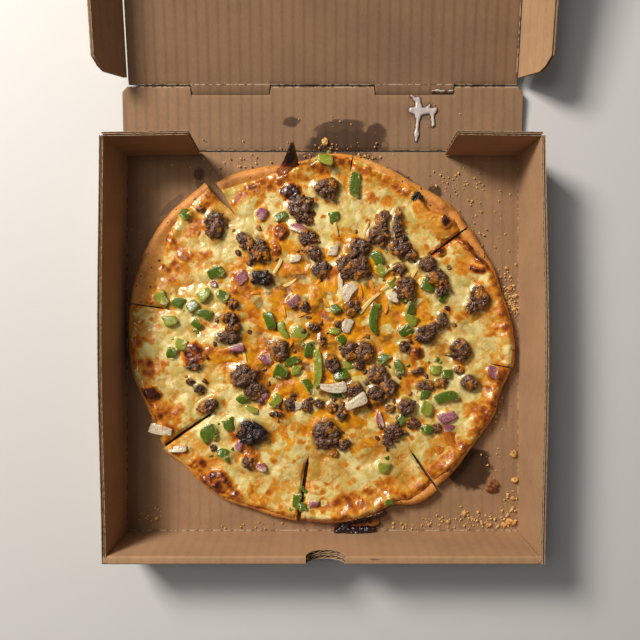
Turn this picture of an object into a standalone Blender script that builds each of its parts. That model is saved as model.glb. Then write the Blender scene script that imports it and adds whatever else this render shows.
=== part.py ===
"""A takeaway pizza, cut into eight slices, in its open corrugated box.

The tray, its back panel, the lid and the lid's three flaps are creased board. The pizza is eight
crusts, eight layers of cheese and the larger toppings. Sizes in the functions are millimetres in the
tray's frame: origin at the centre of the tray's underside, +X to the right, +Y to the lid, +Z up.
"""

import math
from collections import namedtuple

import bmesh
import bpy
from mathutils import Matrix, Vector, noise
from mathutils.bvhtree import BVHTree

MM = 0.001

# Board and tray
BOARD = 3.0
WALL_HEIGHT = 51.0
FLOOR_HALF_WIDTH = 156.3
FLOOR_BACK = 153.5
FRONT_OUTER = -153.5
FRONT_RIDGE = 6.0
FRONT_INNER_BASE = -144.5
RIM_FRONT = 157.6
LEFT_RIM = (RIM_FRONT, 160.4, 159.4)
RIGHT_RIM = (RIM_FRONT, 159.8, 157.8)
WALL_STATIONS = 7
NOTCH_CENTRE = 1.9
NOTCH_HALF_WIDTH = 14.0
NOTCH_DEPTH = 13.0
NOTCH_STEPS = 14
CORNER_FLAP_END = 96.0
CORNER_FLAP_FOOT = 3.6
CORNER_FLAP_BACK = ((152.9, 155.9), (153.4, 156.9))

# Creases and moving panels
CREASE_GAP = 0.5
BACK_CREASE_Y = 154.0
PANEL_LENGTH = 50.0
PANEL_HALF_WIDTH = 156.0
PANEL_RISE = math.radians(5.0)
LID_RISE = math.radians(12.0)
LID_LENGTH = 301.5
LID_HALF_WIDTH = 151.5
TAB_CENTRE = 71.6
TAB_HALF_WIDTH = 31.0
TAB_REACH = 6.2
TAB_CLEARANCE = 0.5
FLAP_WIDTH = 36.0
FLAP_FOLD = math.radians(66.0)
FRONT_FLAP_HALF_WIDTH = 146.0

# Pizza
GAP = 0.3
FLOOR_TOP = BOARD + GAP
PIZZA_CENTRE = Vector((-0.5, 9.1))
CUT_CROSSING = Vector((4.0, 11.0))
CRUST_TOP = 8.5
RIM_PROFILE = ((0.0, 7.2), (1.5, 10.6), (5.0, 12.4), (10.0, 10.6), (18.0, CRUST_TOP))
RIM_FOOT_INSET = 2.0
RIM_ZONE = 22.0
CHEESE_THICKNESS = 2.9
CHEESE_EDGE = 0.8
CHEESE_RELIEF = 0.55
RELIEF_SIZE = 15.0
CHEESE_ROWS = (38.0, 56.0, 76.0, 98.0, 122.0)
SLICE_COLUMNS = 12

Slice = namedtuple("Slice", "name start end rim bare")
Lobe = namedtuple("Lobe", "x y length width turn", defaults=(0,))
Strip = namedtuple("Strip", "name x y length width turn bend height")

# Each slice: the angles of its two cuts at the rim, seven radii of its outline from cut to cut, and
# the width of bare crust outside the cheese at the same seven places.
SLICES = (
    Slice("east", -9.4, 36.5, (151, 150, 147, 144, 144, 142, 142.5), (3, 3, 3, 2.5, 4, 8, 11)),
    Slice("north_east", 37.0, 80.1, (141.5, 143.5, 141, 139, 140, 141, 143), (6, 10, 12, 5, 7, 7, 3)),
    Slice("north", 80.5, 124.8, (143, 142, 137.5, 137, 139.5, 143, 145), (3, 3, 3, 6, 9, 11, 8)),
    Slice("north_west", 127.4, 170.2, (150, 150.5, 152, 153, 152.5, 152, 151.5), (6, 8, 9, 12, 16, 16, 12)),
    Slice("west", 170.6, 214.5, (151.5, 150.5, 150, 150, 147.5, 148, 150), (5, 4, 3, 3, 4, 4, 3)),
    Slice("south_west", 215.3, 262.1, (152, 147.5, 148, 148.5, 145.5, 145, 145.5), (3, 4, 3, 4, 4, 5, 3)),
    Slice("south", 263.3, 306.7, (144, 145.5, 146, 145.5, 142.5, 150, 150.5), (3, 3, 3, 3, 4, 8, 9)),
    Slice("south_east", 307.4, 350.2, (148, 147.5, 145.5, 146, 147.5, 145.5, 149.5), (8, 5, 3, 3, 3, 3, 4)),
)

# Crumbles of beef that are a piece each. One crumble can have several lobes.
BEEF_HEIGHT = 7.0
BEEF = (
    (Lobe(-83, 94, 23, 13, 95),),
    (Lobe(-58, 81, 17, 10, -50), Lobe(-51, 72, 15, 10, -45), Lobe(-46, 76, 21, 8, -65)),
    (Lobe(-47, 54, 18, 11, -15),),
    (Lobe(3, 123, 18, 14),),
    (Lobe(-17, 108, 18, 16), Lobe(-15, 100, 11, 9)),
    (Lobe(-12, 85, 14, 12, -60), Lobe(-7, 73, 14, 11, -75)),
    (Lobe(27, 76, 15, 15), Lobe(19, 62, 17, 16), Lobe(29, 63, 11, 17)),
    (Lobe(43, 86, 16, 15), Lobe(46, 97, 8, 14)),
    (Lobe(57.5, 94.5, 26, 8, 85), Lobe(60, 77, 17, 13, -10), Lobe(68, 72, 9, 9)),
    (Lobe(64, 47, 15, 15), Lobe(60, 40, 7, 7)),
    (Lobe(81, 64, 14, 11), Lobe(88, 54, 17, 12, -30), Lobe(92, 45, 15, 9, 65)),
    (Lobe(121, 38, 15, 18), Lobe(114, 31, 9, 8, 30)),
    (Lobe(79, 10, 15, 13), Lobe(85, 16, 11, 7, 40), Lobe(92, 21, 14, 8, 80)),
    (Lobe(106, -2, 15, 16),),
    (Lobe(113, -27, 13, 12),),
    (Lobe(21, -2, 12, 14), Lobe(32, -3, 13, 15)),
    (Lobe(-33, -2, 15, 15),),
    (Lobe(-72, 23, 17, 8), Lobe(-68, 16, 11, 9), Lobe(-72, 8, 20, 10, 5)),
    (Lobe(-60, -22, 20, 17), Lobe(-52, -33, 15, 13, 30)),
    (Lobe(-55, -65, 21, 18, -20),),
    (Lobe(3, -67, 21, 22),),
    (Lobe(42, -21, 14, 14), Lobe(50, -30, 14, 13), Lobe(41, -35, 11, 13)),
    (Lobe(24.5, -32.5, 14, 12), Lobe(27.5, -41, 15, 10)),
    (Lobe(8, -12, 15, 10, -60),),
    (Lobe(64, -45, 12, 12),),
    (Lobe(55, -64, 13, 11, -20), Lobe(50, -71.5, 9, 9)),
    (Lobe(-88, -45, 17, 10, 30),),
)

# Strips and dice that are a piece each: peppers, then onions
PEPPERS = (
    Strip("pepper_01", 25, 126, 18, 8, 85, 1.0, 3.0),
    Strip("pepper_02", 40, 22, 23, 6, 85, 3.0, 3.5),
    Strip("pepper_03", -4, -15, 29, 6, 92, -1.5, 3.5),
    Strip("pepper_04", -88, -65, 14, 10, 45, 1.0, 3.0),
    Strip("pepper_05", 95, -38, 18, 8, 15, 1.0, 3.0),
    Strip("pepper_06", -18, 11, 12, 11, -40, 0.0, 2.5),
)
ONIONS = (
    Strip("onion_01", 26, -41, 17, 8, 30, 0.0, 3.0),
    Strip("onion_02", -124, -63, 18, 7, -14, 0.0, 2.5),
    Strip("onion_03", 20, 43, 15, 9, 55, 2.0, 2.5),
    Strip("onion_04", 8, -30, 20, 7, 0, -2.0, 2.5),
)

# Smaller toppings, fused to the cheese that they lie on
SMALL_HEIGHT = 2.2
SMALL_BEEF = (
    Lobe(-3, 61, 12, 11), Lobe(-15, 32, 8, 8), Lobe(28, -14, 9, 6), Lobe(73, -18, 11, 5, 20),
    Lobe(-26, -43, 9, 8), Lobe(16, -74, 11, 8), Lobe(-57, -88, 10, 9), Lobe(-99, -14, 14, 7),
    Lobe(79, -29, 14, 7), Lobe(91, -26, 11, 6, 20), Lobe(88, -62, 8, 7), Lobe(-12, -45, 8, 8),
)
SMALL_DICE = (
    Lobe(-105, 103, 9, 8, -30), Lobe(-82, 58, 13, 8, 15), Lobe(-123, 38, 11, 8, -60),
    Lobe(-111, 35, 10, 8, -20), Lobe(-100, 32, 9, 8, 40), Lobe(-91, 41, 11, 8, 40),
    Lobe(-77, 40, 10, 8, -30), Lobe(-117, 19, 11, 8, 10), Lobe(-32, 101, 10, 6, 25),
    Lobe(42, 69, 12, 8, -60), Lobe(81, 46, 10, 8, -20), Lobe(68, 31, 11, 6, 80),
    Lobe(65, 20, 11, 8, -10), Lobe(-41, 21, 14, 8, -70), Lobe(-30, 13, 15, 6, -60),
    Lobe(-10, -1, 11, 9, 90), Lobe(-23, -12, 11, 7, 20), Lobe(-32, -18, 11, 9, -30),
    Lobe(14, -21, 12, 8, 20), Lobe(58, -15, 12, 7, -80), Lobe(87, -17, 9, 7), Lobe(80, -46, 11, 9, 80),
    Lobe(81, -63, 9, 8, -20), Lobe(61, -55, 11, 7, 50), Lobe(-109, 3, 9, 8, -20), Lobe(-116, -5, 9, 8, 70),
    Lobe(-62, -40, 8, 8, -40), Lobe(-72, -59, 9, 9, 20), Lobe(-76, -82, 11, 8, -25),
    Lobe(47, -92, 10, 8, -20), Lobe(-19, 93, 13, 8, -15), Lobe(-47, 103, 8, 8, -40),
    Lobe(-22, 36, 11, 8, 45), Lobe(-62, 54, 10, 8, 40), Lobe(-43, -9, 9, 8, -60), Lobe(96, -53, 14, 8, 20),
    Lobe(-47, -92, 7, 6), Lobe(-113, -80, 17, 6, 5), Lobe(19, 17, 11, 7, 70),
)

# Burnt cheese: a peak that stands up at the back rim, and what ran over the front rim
PEAK_SLICE = "north"
PEAK_PATH = ((-28.5, 133.0, 13.2, 15.0, 3.0), (-27.0, 138.5, 14.8, 14.0, 3.2),
             (-25.3, 144.5, 18.8, 10.5, 3.4), (-23.3, 150.0, 24.5, 6.5, 3.0), (-21.5, 154.0, 31.5, 2.2, 1.8))
OVERFLOW = Lobe(33, -139, 24, 8)
OVERFLOW_HEIGHT = 8.0

MATERIALS = {
    "kraft_board": ((0.50, 0.33, 0.20), 0.85),
    "baked_crust": ((0.66, 0.38, 0.16), 0.7),
    "melted_cheese": ((0.86, 0.72, 0.38), 0.4),
    "fried_beef": ((0.12, 0.06, 0.04), 0.5),
    "green_pepper": ((0.20, 0.36, 0.05), 0.35),
    "onion": ((0.80, 0.70, 0.58), 0.4),
    "burnt_cheese": ((0.07, 0.03, 0.02), 0.5),
}


def clear_scene():
    for old in list(bpy.data.objects):
        bpy.data.objects.remove(old, do_unlink=True)


def material(name):
    found = bpy.data.materials.get(name)
    if found:
        return found
    colour, roughness = MATERIALS[name]
    made = bpy.data.materials.new(name)
    made.use_nodes = True
    shader = made.node_tree.nodes["Principled BSDF"]
    shader.inputs["Base Color"].default_value = (*colour, 1.0)
    shader.inputs["Roughness"].default_value = roughness
    return made


def add_object(name, points, faces, finish, origin=(0.0, 0.0, 0.0), smooth=False):
    """An object from points in millimetres, its origin moved to the given place."""
    start = Vector(origin)
    mesh = bpy.data.meshes.new(name)
    mesh.from_pydata([(Vector(p) - start) * MM for p in points], [], faces)
    mesh.materials.append(material(finish))
    shape = bmesh.new()
    shape.from_mesh(mesh)
    bmesh.ops.recalc_face_normals(shape, faces=shape.faces)
    shape.to_mesh(mesh)
    shape.free()
    if smooth:
        mesh.shade_smooth()
        mesh.set_sharp_from_angle(angle=math.radians(50))
    made = bpy.data.objects.new(name, mesh)
    made.location = start * MM
    bpy.context.scene.collection.objects.link(made)
    return made


def loft(sections):
    """Points and faces of a closed body through loops of the same number of points."""
    count = len(sections[0])
    points = [p for section in sections for p in section]
    faces = [tuple(range(count)), tuple(range(len(points) - 1, len(points) - count - 1, -1))]
    for i in range(len(sections) - 1):
        for j in range(count):
            k = (j + 1) % count
            faces.append((i * count + j, i * count + k, (i + 1) * count + k, (i + 1) * count + j))
    return points, faces


def board(outline, frame):
    """A flat board: its outline lies on the inner face, and the board is behind that face."""
    inner = [frame @ Vector((x, y, 0.0)) for x, y in outline]
    outer = [frame @ Vector((x, y, -BOARD)) for x, y in outline]
    return loft([inner, outer])


def apply_boolean(target, cutters, operation):
    """Joins or cuts the helpers out of the target, then removes them."""
    helpers = bpy.data.collections.new("helpers")
    bpy.context.scene.collection.children.link(helpers)
    for cutter in cutters:
        bpy.context.scene.collection.objects.unlink(cutter)
        helpers.objects.link(cutter)
    change = target.modifiers.new(operation.lower(), "BOOLEAN")
    change.operation = operation
    change.operand_type = "COLLECTION"
    change.collection = helpers
    change.solver = "EXACT"
    graph = bpy.context.evaluated_depsgraph_get()
    result = bpy.data.meshes.new_from_object(target.evaluated_get(graph))
    target.modifiers.clear()
    target.data = result
    for cutter in cutters:
        bpy.data.objects.remove(cutter, do_unlink=True)
    bpy.data.collections.remove(helpers)


def through(values, t):
    """The smooth curve through equally spaced values, at t from 0 to 1."""
    place = t * (len(values) - 1)
    i = min(int(place), len(values) - 2)
    f = place - i
    a = values[max(i - 1, 0)]
    b, c = values[i], values[i + 1]
    d = values[min(i + 2, len(values) - 1)]
    return 0.5 * (2 * b + (c - a) * f + (2 * a - 5 * b + 4 * c - d) * f**2 + (3 * b - a - 3 * c + d) * f**3)


def side_wall(name, side, rim):
    """A side wall whose top bows outwards, from the front corner to the back one."""
    sections = []
    for i in range(WALL_STATIONS):
        t = i / (WALL_STATIONS - 1)
        y = FRONT_OUTER + t * (FLOOR_BACK - FRONT_OUTER)
        top = through(rim, t)
        foot = FLOOR_HALF_WIDTH
        sections.append([
            (side * foot, y, 0.0),
            (side * top, y, WALL_HEIGHT),
            (side * (top - BOARD), y, WALL_HEIGHT),
            (side * (foot - BOARD), y, 0.0),
        ])
    return add_object(name, *loft(sections), "kraft_board")


def front_profile(x_of_height, points):
    return [(x_of_height(z), y, z) for y, z in points]


def front_wall():
    """The front wall, rolled over its ridge and down the inside again."""
    ridge_inner = FRONT_OUTER + FRONT_RIDGE
    outline = ((FRONT_OUTER, 0.0), (FRONT_OUTER, WALL_HEIGHT), (ridge_inner, WALL_HEIGHT),
               (FRONT_INNER_BASE, BOARD), (FRONT_INNER_BASE, 1.0))
    sections = []
    for side in (-1, 1):
        spread = (RIM_FRONT - FLOOR_HALF_WIDTH) / WALL_HEIGHT
        sections.append(front_profile(lambda z: side * (FLOOR_HALF_WIDTH - 0.2 + spread * z), outline))
    return add_object("front_wall", *loft(sections), "kraft_board")


def roll_hollow():
    """The thin hollow between the two boards of the front wall."""
    middle = FRONT_OUTER + BOARD
    outline = ((middle, WALL_HEIGHT - 4.0), (middle, BOARD + 0.6),
               (FRONT_INNER_BASE - BOARD, BOARD + 0.6), (middle + 0.25, WALL_HEIGHT - 4.0))
    half = FLOOR_HALF_WIDTH - 2 * BOARD
    sections = [[(side * half, y, z) for y, z in outline] for side in (-1, 1)]
    return add_object("roll_hollow", *loft(sections), "kraft_board")


def thumb_notch():
    """The half-round cut for a thumb, through both boards of the front wall."""
    outline = [(NOTCH_CENTRE + NOTCH_HALF_WIDTH, WALL_HEIGHT + 5.0),
               (NOTCH_CENTRE - NOTCH_HALF_WIDTH, WALL_HEIGHT + 5.0)]
    for i in range(NOTCH_STEPS + 1):
        turn = math.pi * (1 + i / NOTCH_STEPS)
        outline.append((NOTCH_CENTRE + NOTCH_HALF_WIDTH * math.cos(turn),
                        WALL_HEIGHT + NOTCH_DEPTH * math.sin(turn)))
    sections = [[(x, y, z) for x, z in outline] for y in (FRONT_OUTER - 5.0, FRONT_INNER_BASE + 5.0)]
    return add_object("thumb_notch", *loft(sections), "kraft_board")


def corner_flap(side):
    """A flap that turns in from a side wall and stands along the back edge."""
    (foot_corner, top_corner), (foot_end, top_end) = CORNER_FLAP_BACK
    rim = LEFT_RIM[2] if side < 0 else RIGHT_RIM[2]
    sections = []
    for x_foot, x_top, y_foot, y_top in (
        (FLOOR_HALF_WIDTH - 1.5, rim - 1.5, foot_corner, top_corner),
        (CORNER_FLAP_END, CORNER_FLAP_END, foot_end, top_end),
    ):
        sections.append([
            (side * x_foot, y_foot, CORNER_FLAP_FOOT),
            (side * x_top, y_top, WALL_HEIGHT - 0.2),
            (side * x_top, y_top - BOARD, WALL_HEIGHT - 0.2),
            (side * x_foot, y_foot - BOARD, CORNER_FLAP_FOOT),
        ])
    return add_object("corner_flap", *loft(sections), "kraft_board")


def build_tray():
    half = FLOOR_HALF_WIDTH - 0.4
    outline = ((-half, FRONT_OUTER + 0.4), (half, FRONT_OUTER + 0.4), (half, FLOOR_BACK - 0.1),
               (-half, FLOOR_BACK - 0.1))
    tray = add_object("box_tray", *board(outline, Matrix.Translation((0.0, 0.0, BOARD))), "kraft_board")
    walls = [side_wall("wall_left", -1, LEFT_RIM), side_wall("wall_right", 1, RIGHT_RIM), front_wall()]
    walls += [corner_flap(-1), corner_flap(1)]
    apply_boolean(tray, walls, "UNION")
    apply_boolean(tray, [roll_hollow(), thumb_notch()], "DIFFERENCE")


def panel_frame():
    """The back panel's frame: its crease is the X axis, and the panel runs along Y."""
    return Matrix.Translation((0.0, BACK_CREASE_Y, BOARD)) @ Matrix.Rotation(PANEL_RISE, 4, "X")


def lid_frame():
    crease = panel_frame() @ Vector((0.0, PANEL_LENGTH, 0.0))
    return Matrix.Translation(crease) @ Matrix.Rotation(LID_RISE, 4, "X")


def crenel(edge, depth, half_width):
    """Points along the lid's crease, with the two tabs' steps in them."""
    points = []
    for centre in (-TAB_CENTRE, TAB_CENTRE):
        left, right = centre - half_width, centre + half_width
        points += [(left, edge), (left + 1.0, depth), (right - 1.0, depth), (right, edge)]
    return points


def build_back_panel():
    frame = panel_frame()
    corner = 4.0
    top = PANEL_LENGTH - CREASE_GAP
    outline = [(-PANEL_HALF_WIDTH, CREASE_GAP), (-PANEL_HALF_WIDTH, top - corner),
               (-PANEL_HALF_WIDTH + corner, top)]
    outline += crenel(top, PANEL_LENGTH - TAB_REACH - TAB_CLEARANCE, TAB_HALF_WIDTH + TAB_CLEARANCE)
    outline += [(PANEL_HALF_WIDTH - corner, top), (PANEL_HALF_WIDTH, top - corner),
                (PANEL_HALF_WIDTH, CREASE_GAP)]
    add_object("back_panel", *board(outline, frame), "kraft_board", origin=frame.translation)


def build_lid():
    frame = lid_frame()
    half = LID_HALF_WIDTH - CREASE_GAP
    outline = [(-half, LID_LENGTH - CREASE_GAP), (-half, CREASE_GAP)]
    outline += crenel(CREASE_GAP, -TAB_REACH, TAB_HALF_WIDTH)
    outline += [(half, CREASE_GAP), (half, LID_LENGTH - CREASE_GAP)]
    add_object("lid_panel", *board(outline, frame), "kraft_board", origin=frame.translation)


def flap_outline(length):
    """A flap along a crease of this length: (distance along, width out), with cut corners."""
    half = ((5.8, CREASE_GAP), (7.2, 24.0), (10.5, 30.0), (17.0, FLAP_WIDTH))
    return list(half) + [(length - along, out) for along, out in reversed(half)]


def build_lid_flaps():
    lid = lid_frame()
    for name, side in (("lid_flap_left", -1), ("lid_flap_right", 1)):
        crease = lid @ Matrix.Translation((side * LID_HALF_WIDTH, 0.0, 0.0))
        fold = crease @ Matrix.Rotation(-side * FLAP_FOLD, 4, "Y")
        outline = [(side * out, along) for along, out in flap_outline(LID_LENGTH)]
        add_object(name, *board(outline, fold), "kraft_board", origin=fold.translation)
    crease = lid @ Matrix.Translation((0.0, LID_LENGTH, 0.0))
    fold = crease @ Matrix.Rotation(FLAP_FOLD, 4, "X")
    start = FRONT_FLAP_HALF_WIDTH + flap_outline(0.0)[0][0]
    outline = [(along - start, out) for along, out in flap_outline(2 * start)]
    add_object("lid_flap_front", *board(outline, fold), "kraft_board", origin=fold.translation)


def rim_height(distance):
    """Height of the crust's top at this distance inside its outer edge."""
    for (d0, z0), (d1, z1) in zip(RIM_PROFILE, RIM_PROFILE[1:]):
        if distance <= d1:
            return z0 + (z1 - z0) * (distance - d0) / (d1 - d0)
    return CRUST_TOP


class SliceGrid:
    """Places on one slice: column 0 to SLICE_COLUMNS from cut to cut, and distance from the rim."""

    def __init__(self, piece):
        self.piece = piece
        middle = math.radians((piece.start + piece.end) / 2)
        self.apex = CUT_CROSSING + 1.4 * Vector((math.cos(middle), math.sin(middle)))
        self.rims = []
        self.bare = []
        for column in range(SLICE_COLUMNS + 1):
            t = column / SLICE_COLUMNS
            turn = math.radians(piece.start + t * (piece.end - piece.start))
            radius = through(piece.rim, t)
            self.rims.append(PIZZA_CENTRE + radius * Vector((math.cos(turn), math.sin(turn))))
            self.bare.append(through(piece.bare, t))

    def place(self, column, distance):
        """The point this far in from the rim, on the line from the rim to the slice's tip."""
        rim = self.rims[column]
        return rim + (self.apex - rim).normalized() * distance

    def contains(self, x, y, margin):
        """Whether a place is inside the slice's two cuts and its cheese, by a margin."""
        spot = Vector((x, y))
        first = (self.rims[0] - self.apex).normalized()
        last = (self.rims[-1] - self.apex).normalized()
        offset = spot - self.apex
        inside = first.cross(offset) > margin and offset.cross(last) > margin
        reach = (spot - PIZZA_CENTRE).length
        return inside and reach < min((r - PIZZA_CENTRE).length for r in self.rims) - 6.0


def strip_faces(first, second):
    """Quads between two rows of points that have the same number."""
    return [(first[i], first[i + 1], second[i + 1], second[i]) for i in range(len(first) - 1)]


def build_crust(grid):
    points, faces = [], []

    def row(distances, height):
        start = len(points)
        for column, distance in enumerate(distances):
            x, y = grid.place(column, distance)
            points.append((x, y, height(distance)))
        return list(range(start, len(points)))

    columns = range(SLICE_COLUMNS + 1)
    rows = [row([RIM_FOOT_INSET] * len(columns), lambda d: FLOOR_TOP)]
    rows.append(row([0.0] * len(columns), rim_height))
    rows.append(row([1.5] * len(columns), rim_height))
    rows.append(row(grid.bare, rim_height))
    rows.append(row([b + 5.0 for b in grid.bare], rim_height))
    rows.append(row([RIM_ZONE] * len(columns), rim_height))
    for lower, upper in zip(rows, rows[1:]):
        faces += strip_faces(lower, upper)
    apex_top, apex_foot = len(points), len(points) + 1
    points += [(*grid.apex, CRUST_TOP), (*grid.apex, FLOOR_TOP)]
    faces.append((*rows[-1], apex_top))
    faces.append((*reversed(rows[0]), apex_foot))
    for end in (0, -1):
        faces.append((*[r[end] for r in rows], apex_top, apex_foot))
    return add_object("crust_" + grid.piece.name, points, faces, "baked_crust", smooth=True)


def build_cheese(grid):
    points, faces = [], []
    columns = range(SLICE_COLUMNS + 1)

    def relief(x, y):
        return CHEESE_RELIEF * noise.noise(Vector((x, y, 3.0)) / RELIEF_SIZE)

    def row(distances, rise):
        start = len(points)
        for column, distance in zip(columns, distances):
            x, y = grid.place(column, distance)
            edge = min(column, SLICE_COLUMNS - column)
            sag = 0.7 if edge == 0 else 0.0
            height = rim_height(distance) + GAP
            if rise > 0:
                height += max(rise - sag, CHEESE_EDGE) + (relief(x, y) if rise > 2 else 0.0)
            points.append((x, y, height))
        return list(range(start, len(points)))

    flat = [RIM_ZONE] * len(columns)
    shoulder = [b + 5.0 for b in grid.bare]
    under = [row(grid.bare, 0.0), row(shoulder, 0.0), row(flat, 0.0)]
    over = [row(grid.bare, CHEESE_EDGE), row([b + 2.2 for b in grid.bare], 2.3)]
    over += [row(shoulder, CHEESE_THICKNESS), row(flat, CHEESE_THICKNESS)]
    over += [row([distance] * len(columns), CHEESE_THICKNESS) for distance in CHEESE_ROWS]
    faces += strip_faces(under[0], over[0])
    for rows in (under, over):
        for first, second in zip(rows, rows[1:]):
            faces += strip_faces(first, second)
    tip_under, tip_over = len(points), len(points) + 1
    points += [(*grid.apex, CRUST_TOP + GAP), (*grid.apex, CRUST_TOP + GAP + CHEESE_THICKNESS - 0.7)]
    faces.append((*under[-1], tip_under))
    faces += [(over[-1][i], over[-1][i + 1], tip_over) for i in range(SLICE_COLUMNS)]
    for end in (0, -1):
        lower = [r[end] for r in under]
        upper = [r[end] for r in reversed(over)]
        faces.append((*lower, tip_under, tip_over, *upper))
    return add_object("cheese_" + grid.piece.name, points, faces, "melted_cheese", smooth=True)


def lump_points(lobe, height, foot, detail, seed):
    """An uneven round lump with a flat foot, as (points, faces), its foot at height zero."""
    shape = bmesh.new()
    bmesh.ops.create_icosphere(shape, subdivisions=detail, radius=1.0)
    turn = math.radians(lobe.turn)
    points = []
    for vertex in shape.verts:
        p = vertex.co
        grow = 1.0 + 0.16 * noise.noise(p * 1.7 + Vector((seed * 3.1, seed * 1.7, 0.0)))
        x, y = p.x * lobe.length / 2 * grow, p.y * lobe.width / 2 * grow
        z = max(p.z, -0.45) * height / 1.45 * grow + 0.45 * height / 1.45
        z = max(z, foot)
        points.append((lobe.x + x * math.cos(turn) - y * math.sin(turn),
                       lobe.y + x * math.sin(turn) + y * math.cos(turn), z))
    faces = [tuple(v.index for v in face.verts) for face in shape.faces]
    shape.free()
    return points, faces


def strip_points(piece):
    """A strip or die with a rounded back, bent along its length, as (points, faces)."""
    sections = []
    steps = 5 if piece.length > 16 else 3
    turn = math.radians(piece.turn)
    for i in range(steps):
        u = i / (steps - 1) * 2 - 1
        along = u * piece.length / 2
        across = piece.bend * (1 - u * u)
        half = piece.width / 2 * (1.0 - 0.2 * u * u)
        section = []
        for side, z in ((-1, 0.0), (-0.85, 0.8), (0, 1.0), (0.85, 0.8), (1, 0.0)):
            x, y = along, across + side * half
            section.append((piece.x + x * math.cos(turn) - y * math.sin(turn),
                            piece.y + x * math.sin(turn) + y * math.cos(turn), z * piece.height))
        sections.append(section)
    return loft(sections)


def tree_of(objects):
    """A search tree over the faces of these objects, in millimetres."""
    points, faces = [], []
    for item in objects:
        start = len(points)
        points += [v.co / MM for v in item.data.vertices]
        faces += [tuple(start + i for i in face.vertices) for face in item.data.polygons]
    return BVHTree.FromPolygons(points, faces)


def surface_height(tree, x, y):
    """Height of the highest surface at a place, or None over bare floor."""
    hit = tree.ray_cast(Vector((x, y, 90.0)), Vector((0.0, 0.0, -1.0)))[0]
    return hit.z if hit else None


def rest_height(tree, points):
    """Height at which a piece's flat foot clears everything under it by the gap."""
    centre = [sum(p[i] for p in points) / len(points) for i in (0, 1)]
    heights = []
    for x, y, _ in points:
        for share in (0.5, 0.8, 1.0, 1.06):
            found = surface_height(tree, centre[0] + share * (x - centre[0]), centre[1] + share * (y - centre[1]))
            if found is not None:
                heights.append(found)
    return max(heights) + GAP


def lift(points, height):
    return [(x, y, z + height) for x, y, z in points]


def crosses(small, others):
    """Whether a small topping would reach under or into a larger one."""
    reach = (small.length + small.width) / 4
    return any(
        math.hypot(small.x - o.x, small.y - o.y) < reach + (o.length + o.width) / 4 - 0.5 for o in others
    )


def fuse_small(grid, cheese, large):
    """Joins the slice's small toppings to its cheese."""
    tree = tree_of([cheese])
    added = []
    for lumps, detail in ((SMALL_BEEF, 1), (SMALL_DICE, 0)):
        for lobe in lumps:
            if not grid.contains(lobe.x, lobe.y, lobe.length / 2 + 0.8) or crosses(lobe, large):
                continue
            if detail:
                points, faces = lump_points(lobe, SMALL_HEIGHT + 2.4, 0.0, 2, lobe.x)
            else:
                piece = Strip("", *lobe, 0.0, SMALL_HEIGHT + 1.2)
                points, faces = strip_points(piece)
            foot = surface_height(tree, lobe.x, lobe.y) - 1.3
            added.append(add_object("small_topping", lift(points, foot), faces, "green_pepper"))
    if grid.piece.name == PEAK_SLICE:
        added.append(burnt_peak())
    if added:
        apply_boolean(cheese, added, "UNION")


def burnt_peak():
    """A curl of burnt cheese that stands up and out from the back rim."""
    sections = []
    for x, y, z, width, depth in PEAK_PATH:
        corners = ((-0.5, 0.0), (-0.2, 0.5), (0.3, 0.4), (0.5, 0.0), (0.2, -0.5), (-0.25, -0.4))
        sections.append([(x + width * u, y + 0.2 * width * u, z + depth * v) for u, v in corners])
    return add_object("burnt_peak", *loft(sections), "burnt_cheese")


def build_pizza():
    grids = [SliceGrid(piece) for piece in SLICES]
    large = [lobe for crumble in BEEF for lobe in crumble] + list(PEPPERS) + list(ONIONS)
    layers = []
    for grid in grids:
        build_crust(grid)
        cheese = build_cheese(grid)
        fuse_small(grid, cheese, large)
        layers.append(cheese)
    return layers


def build_toppings(layers):
    """Beef on the cheese, then peppers and onions on all that is under them."""
    tree = tree_of(layers)
    placed = list(layers)
    for number, crumble in enumerate(BEEF, 1):
        lobes = []
        feet = []
        for index, lobe in enumerate(crumble):
            height = BEEF_HEIGHT * (0.8 + 0.02 * min(lobe.length, lobe.width))
            points, faces = lump_points(lobe, height, 0.25 * index, 2, number + 0.37 * index)
            feet += [p for p in points if p[2] < 2.5]
            lobes.append((points, faces))
        height = rest_height(tree, feet)
        name = f"beef_{number:02d}"
        made = [add_object(name, lift(p, height), f, "fried_beef", smooth=True) for p, f in lobes]
        if len(made) > 1:
            apply_boolean(made[0], made[1:], "UNION")
        placed.append(made[0])
    for pieces, finish in ((PEPPERS, "green_pepper"), (ONIONS, "onion")):
        tree = tree_of(placed)
        for piece in pieces:
            points, faces = strip_points(piece)
            height = rest_height(tree, points)
            placed.append(add_object(piece.name, lift(points, height), faces, finish, smooth=True))
    points, faces = lump_points(OVERFLOW, OVERFLOW_HEIGHT, 0.0, 2, 5.0)
    add_object("burnt_overflow", lift(points, FLOOR_TOP), faces, "burnt_cheese", smooth=True)


def main():
    clear_scene()
    build_tray()
    build_back_panel()
    build_lid()
    build_lid_flaps()
    build_toppings(build_pizza())


main()
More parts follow.
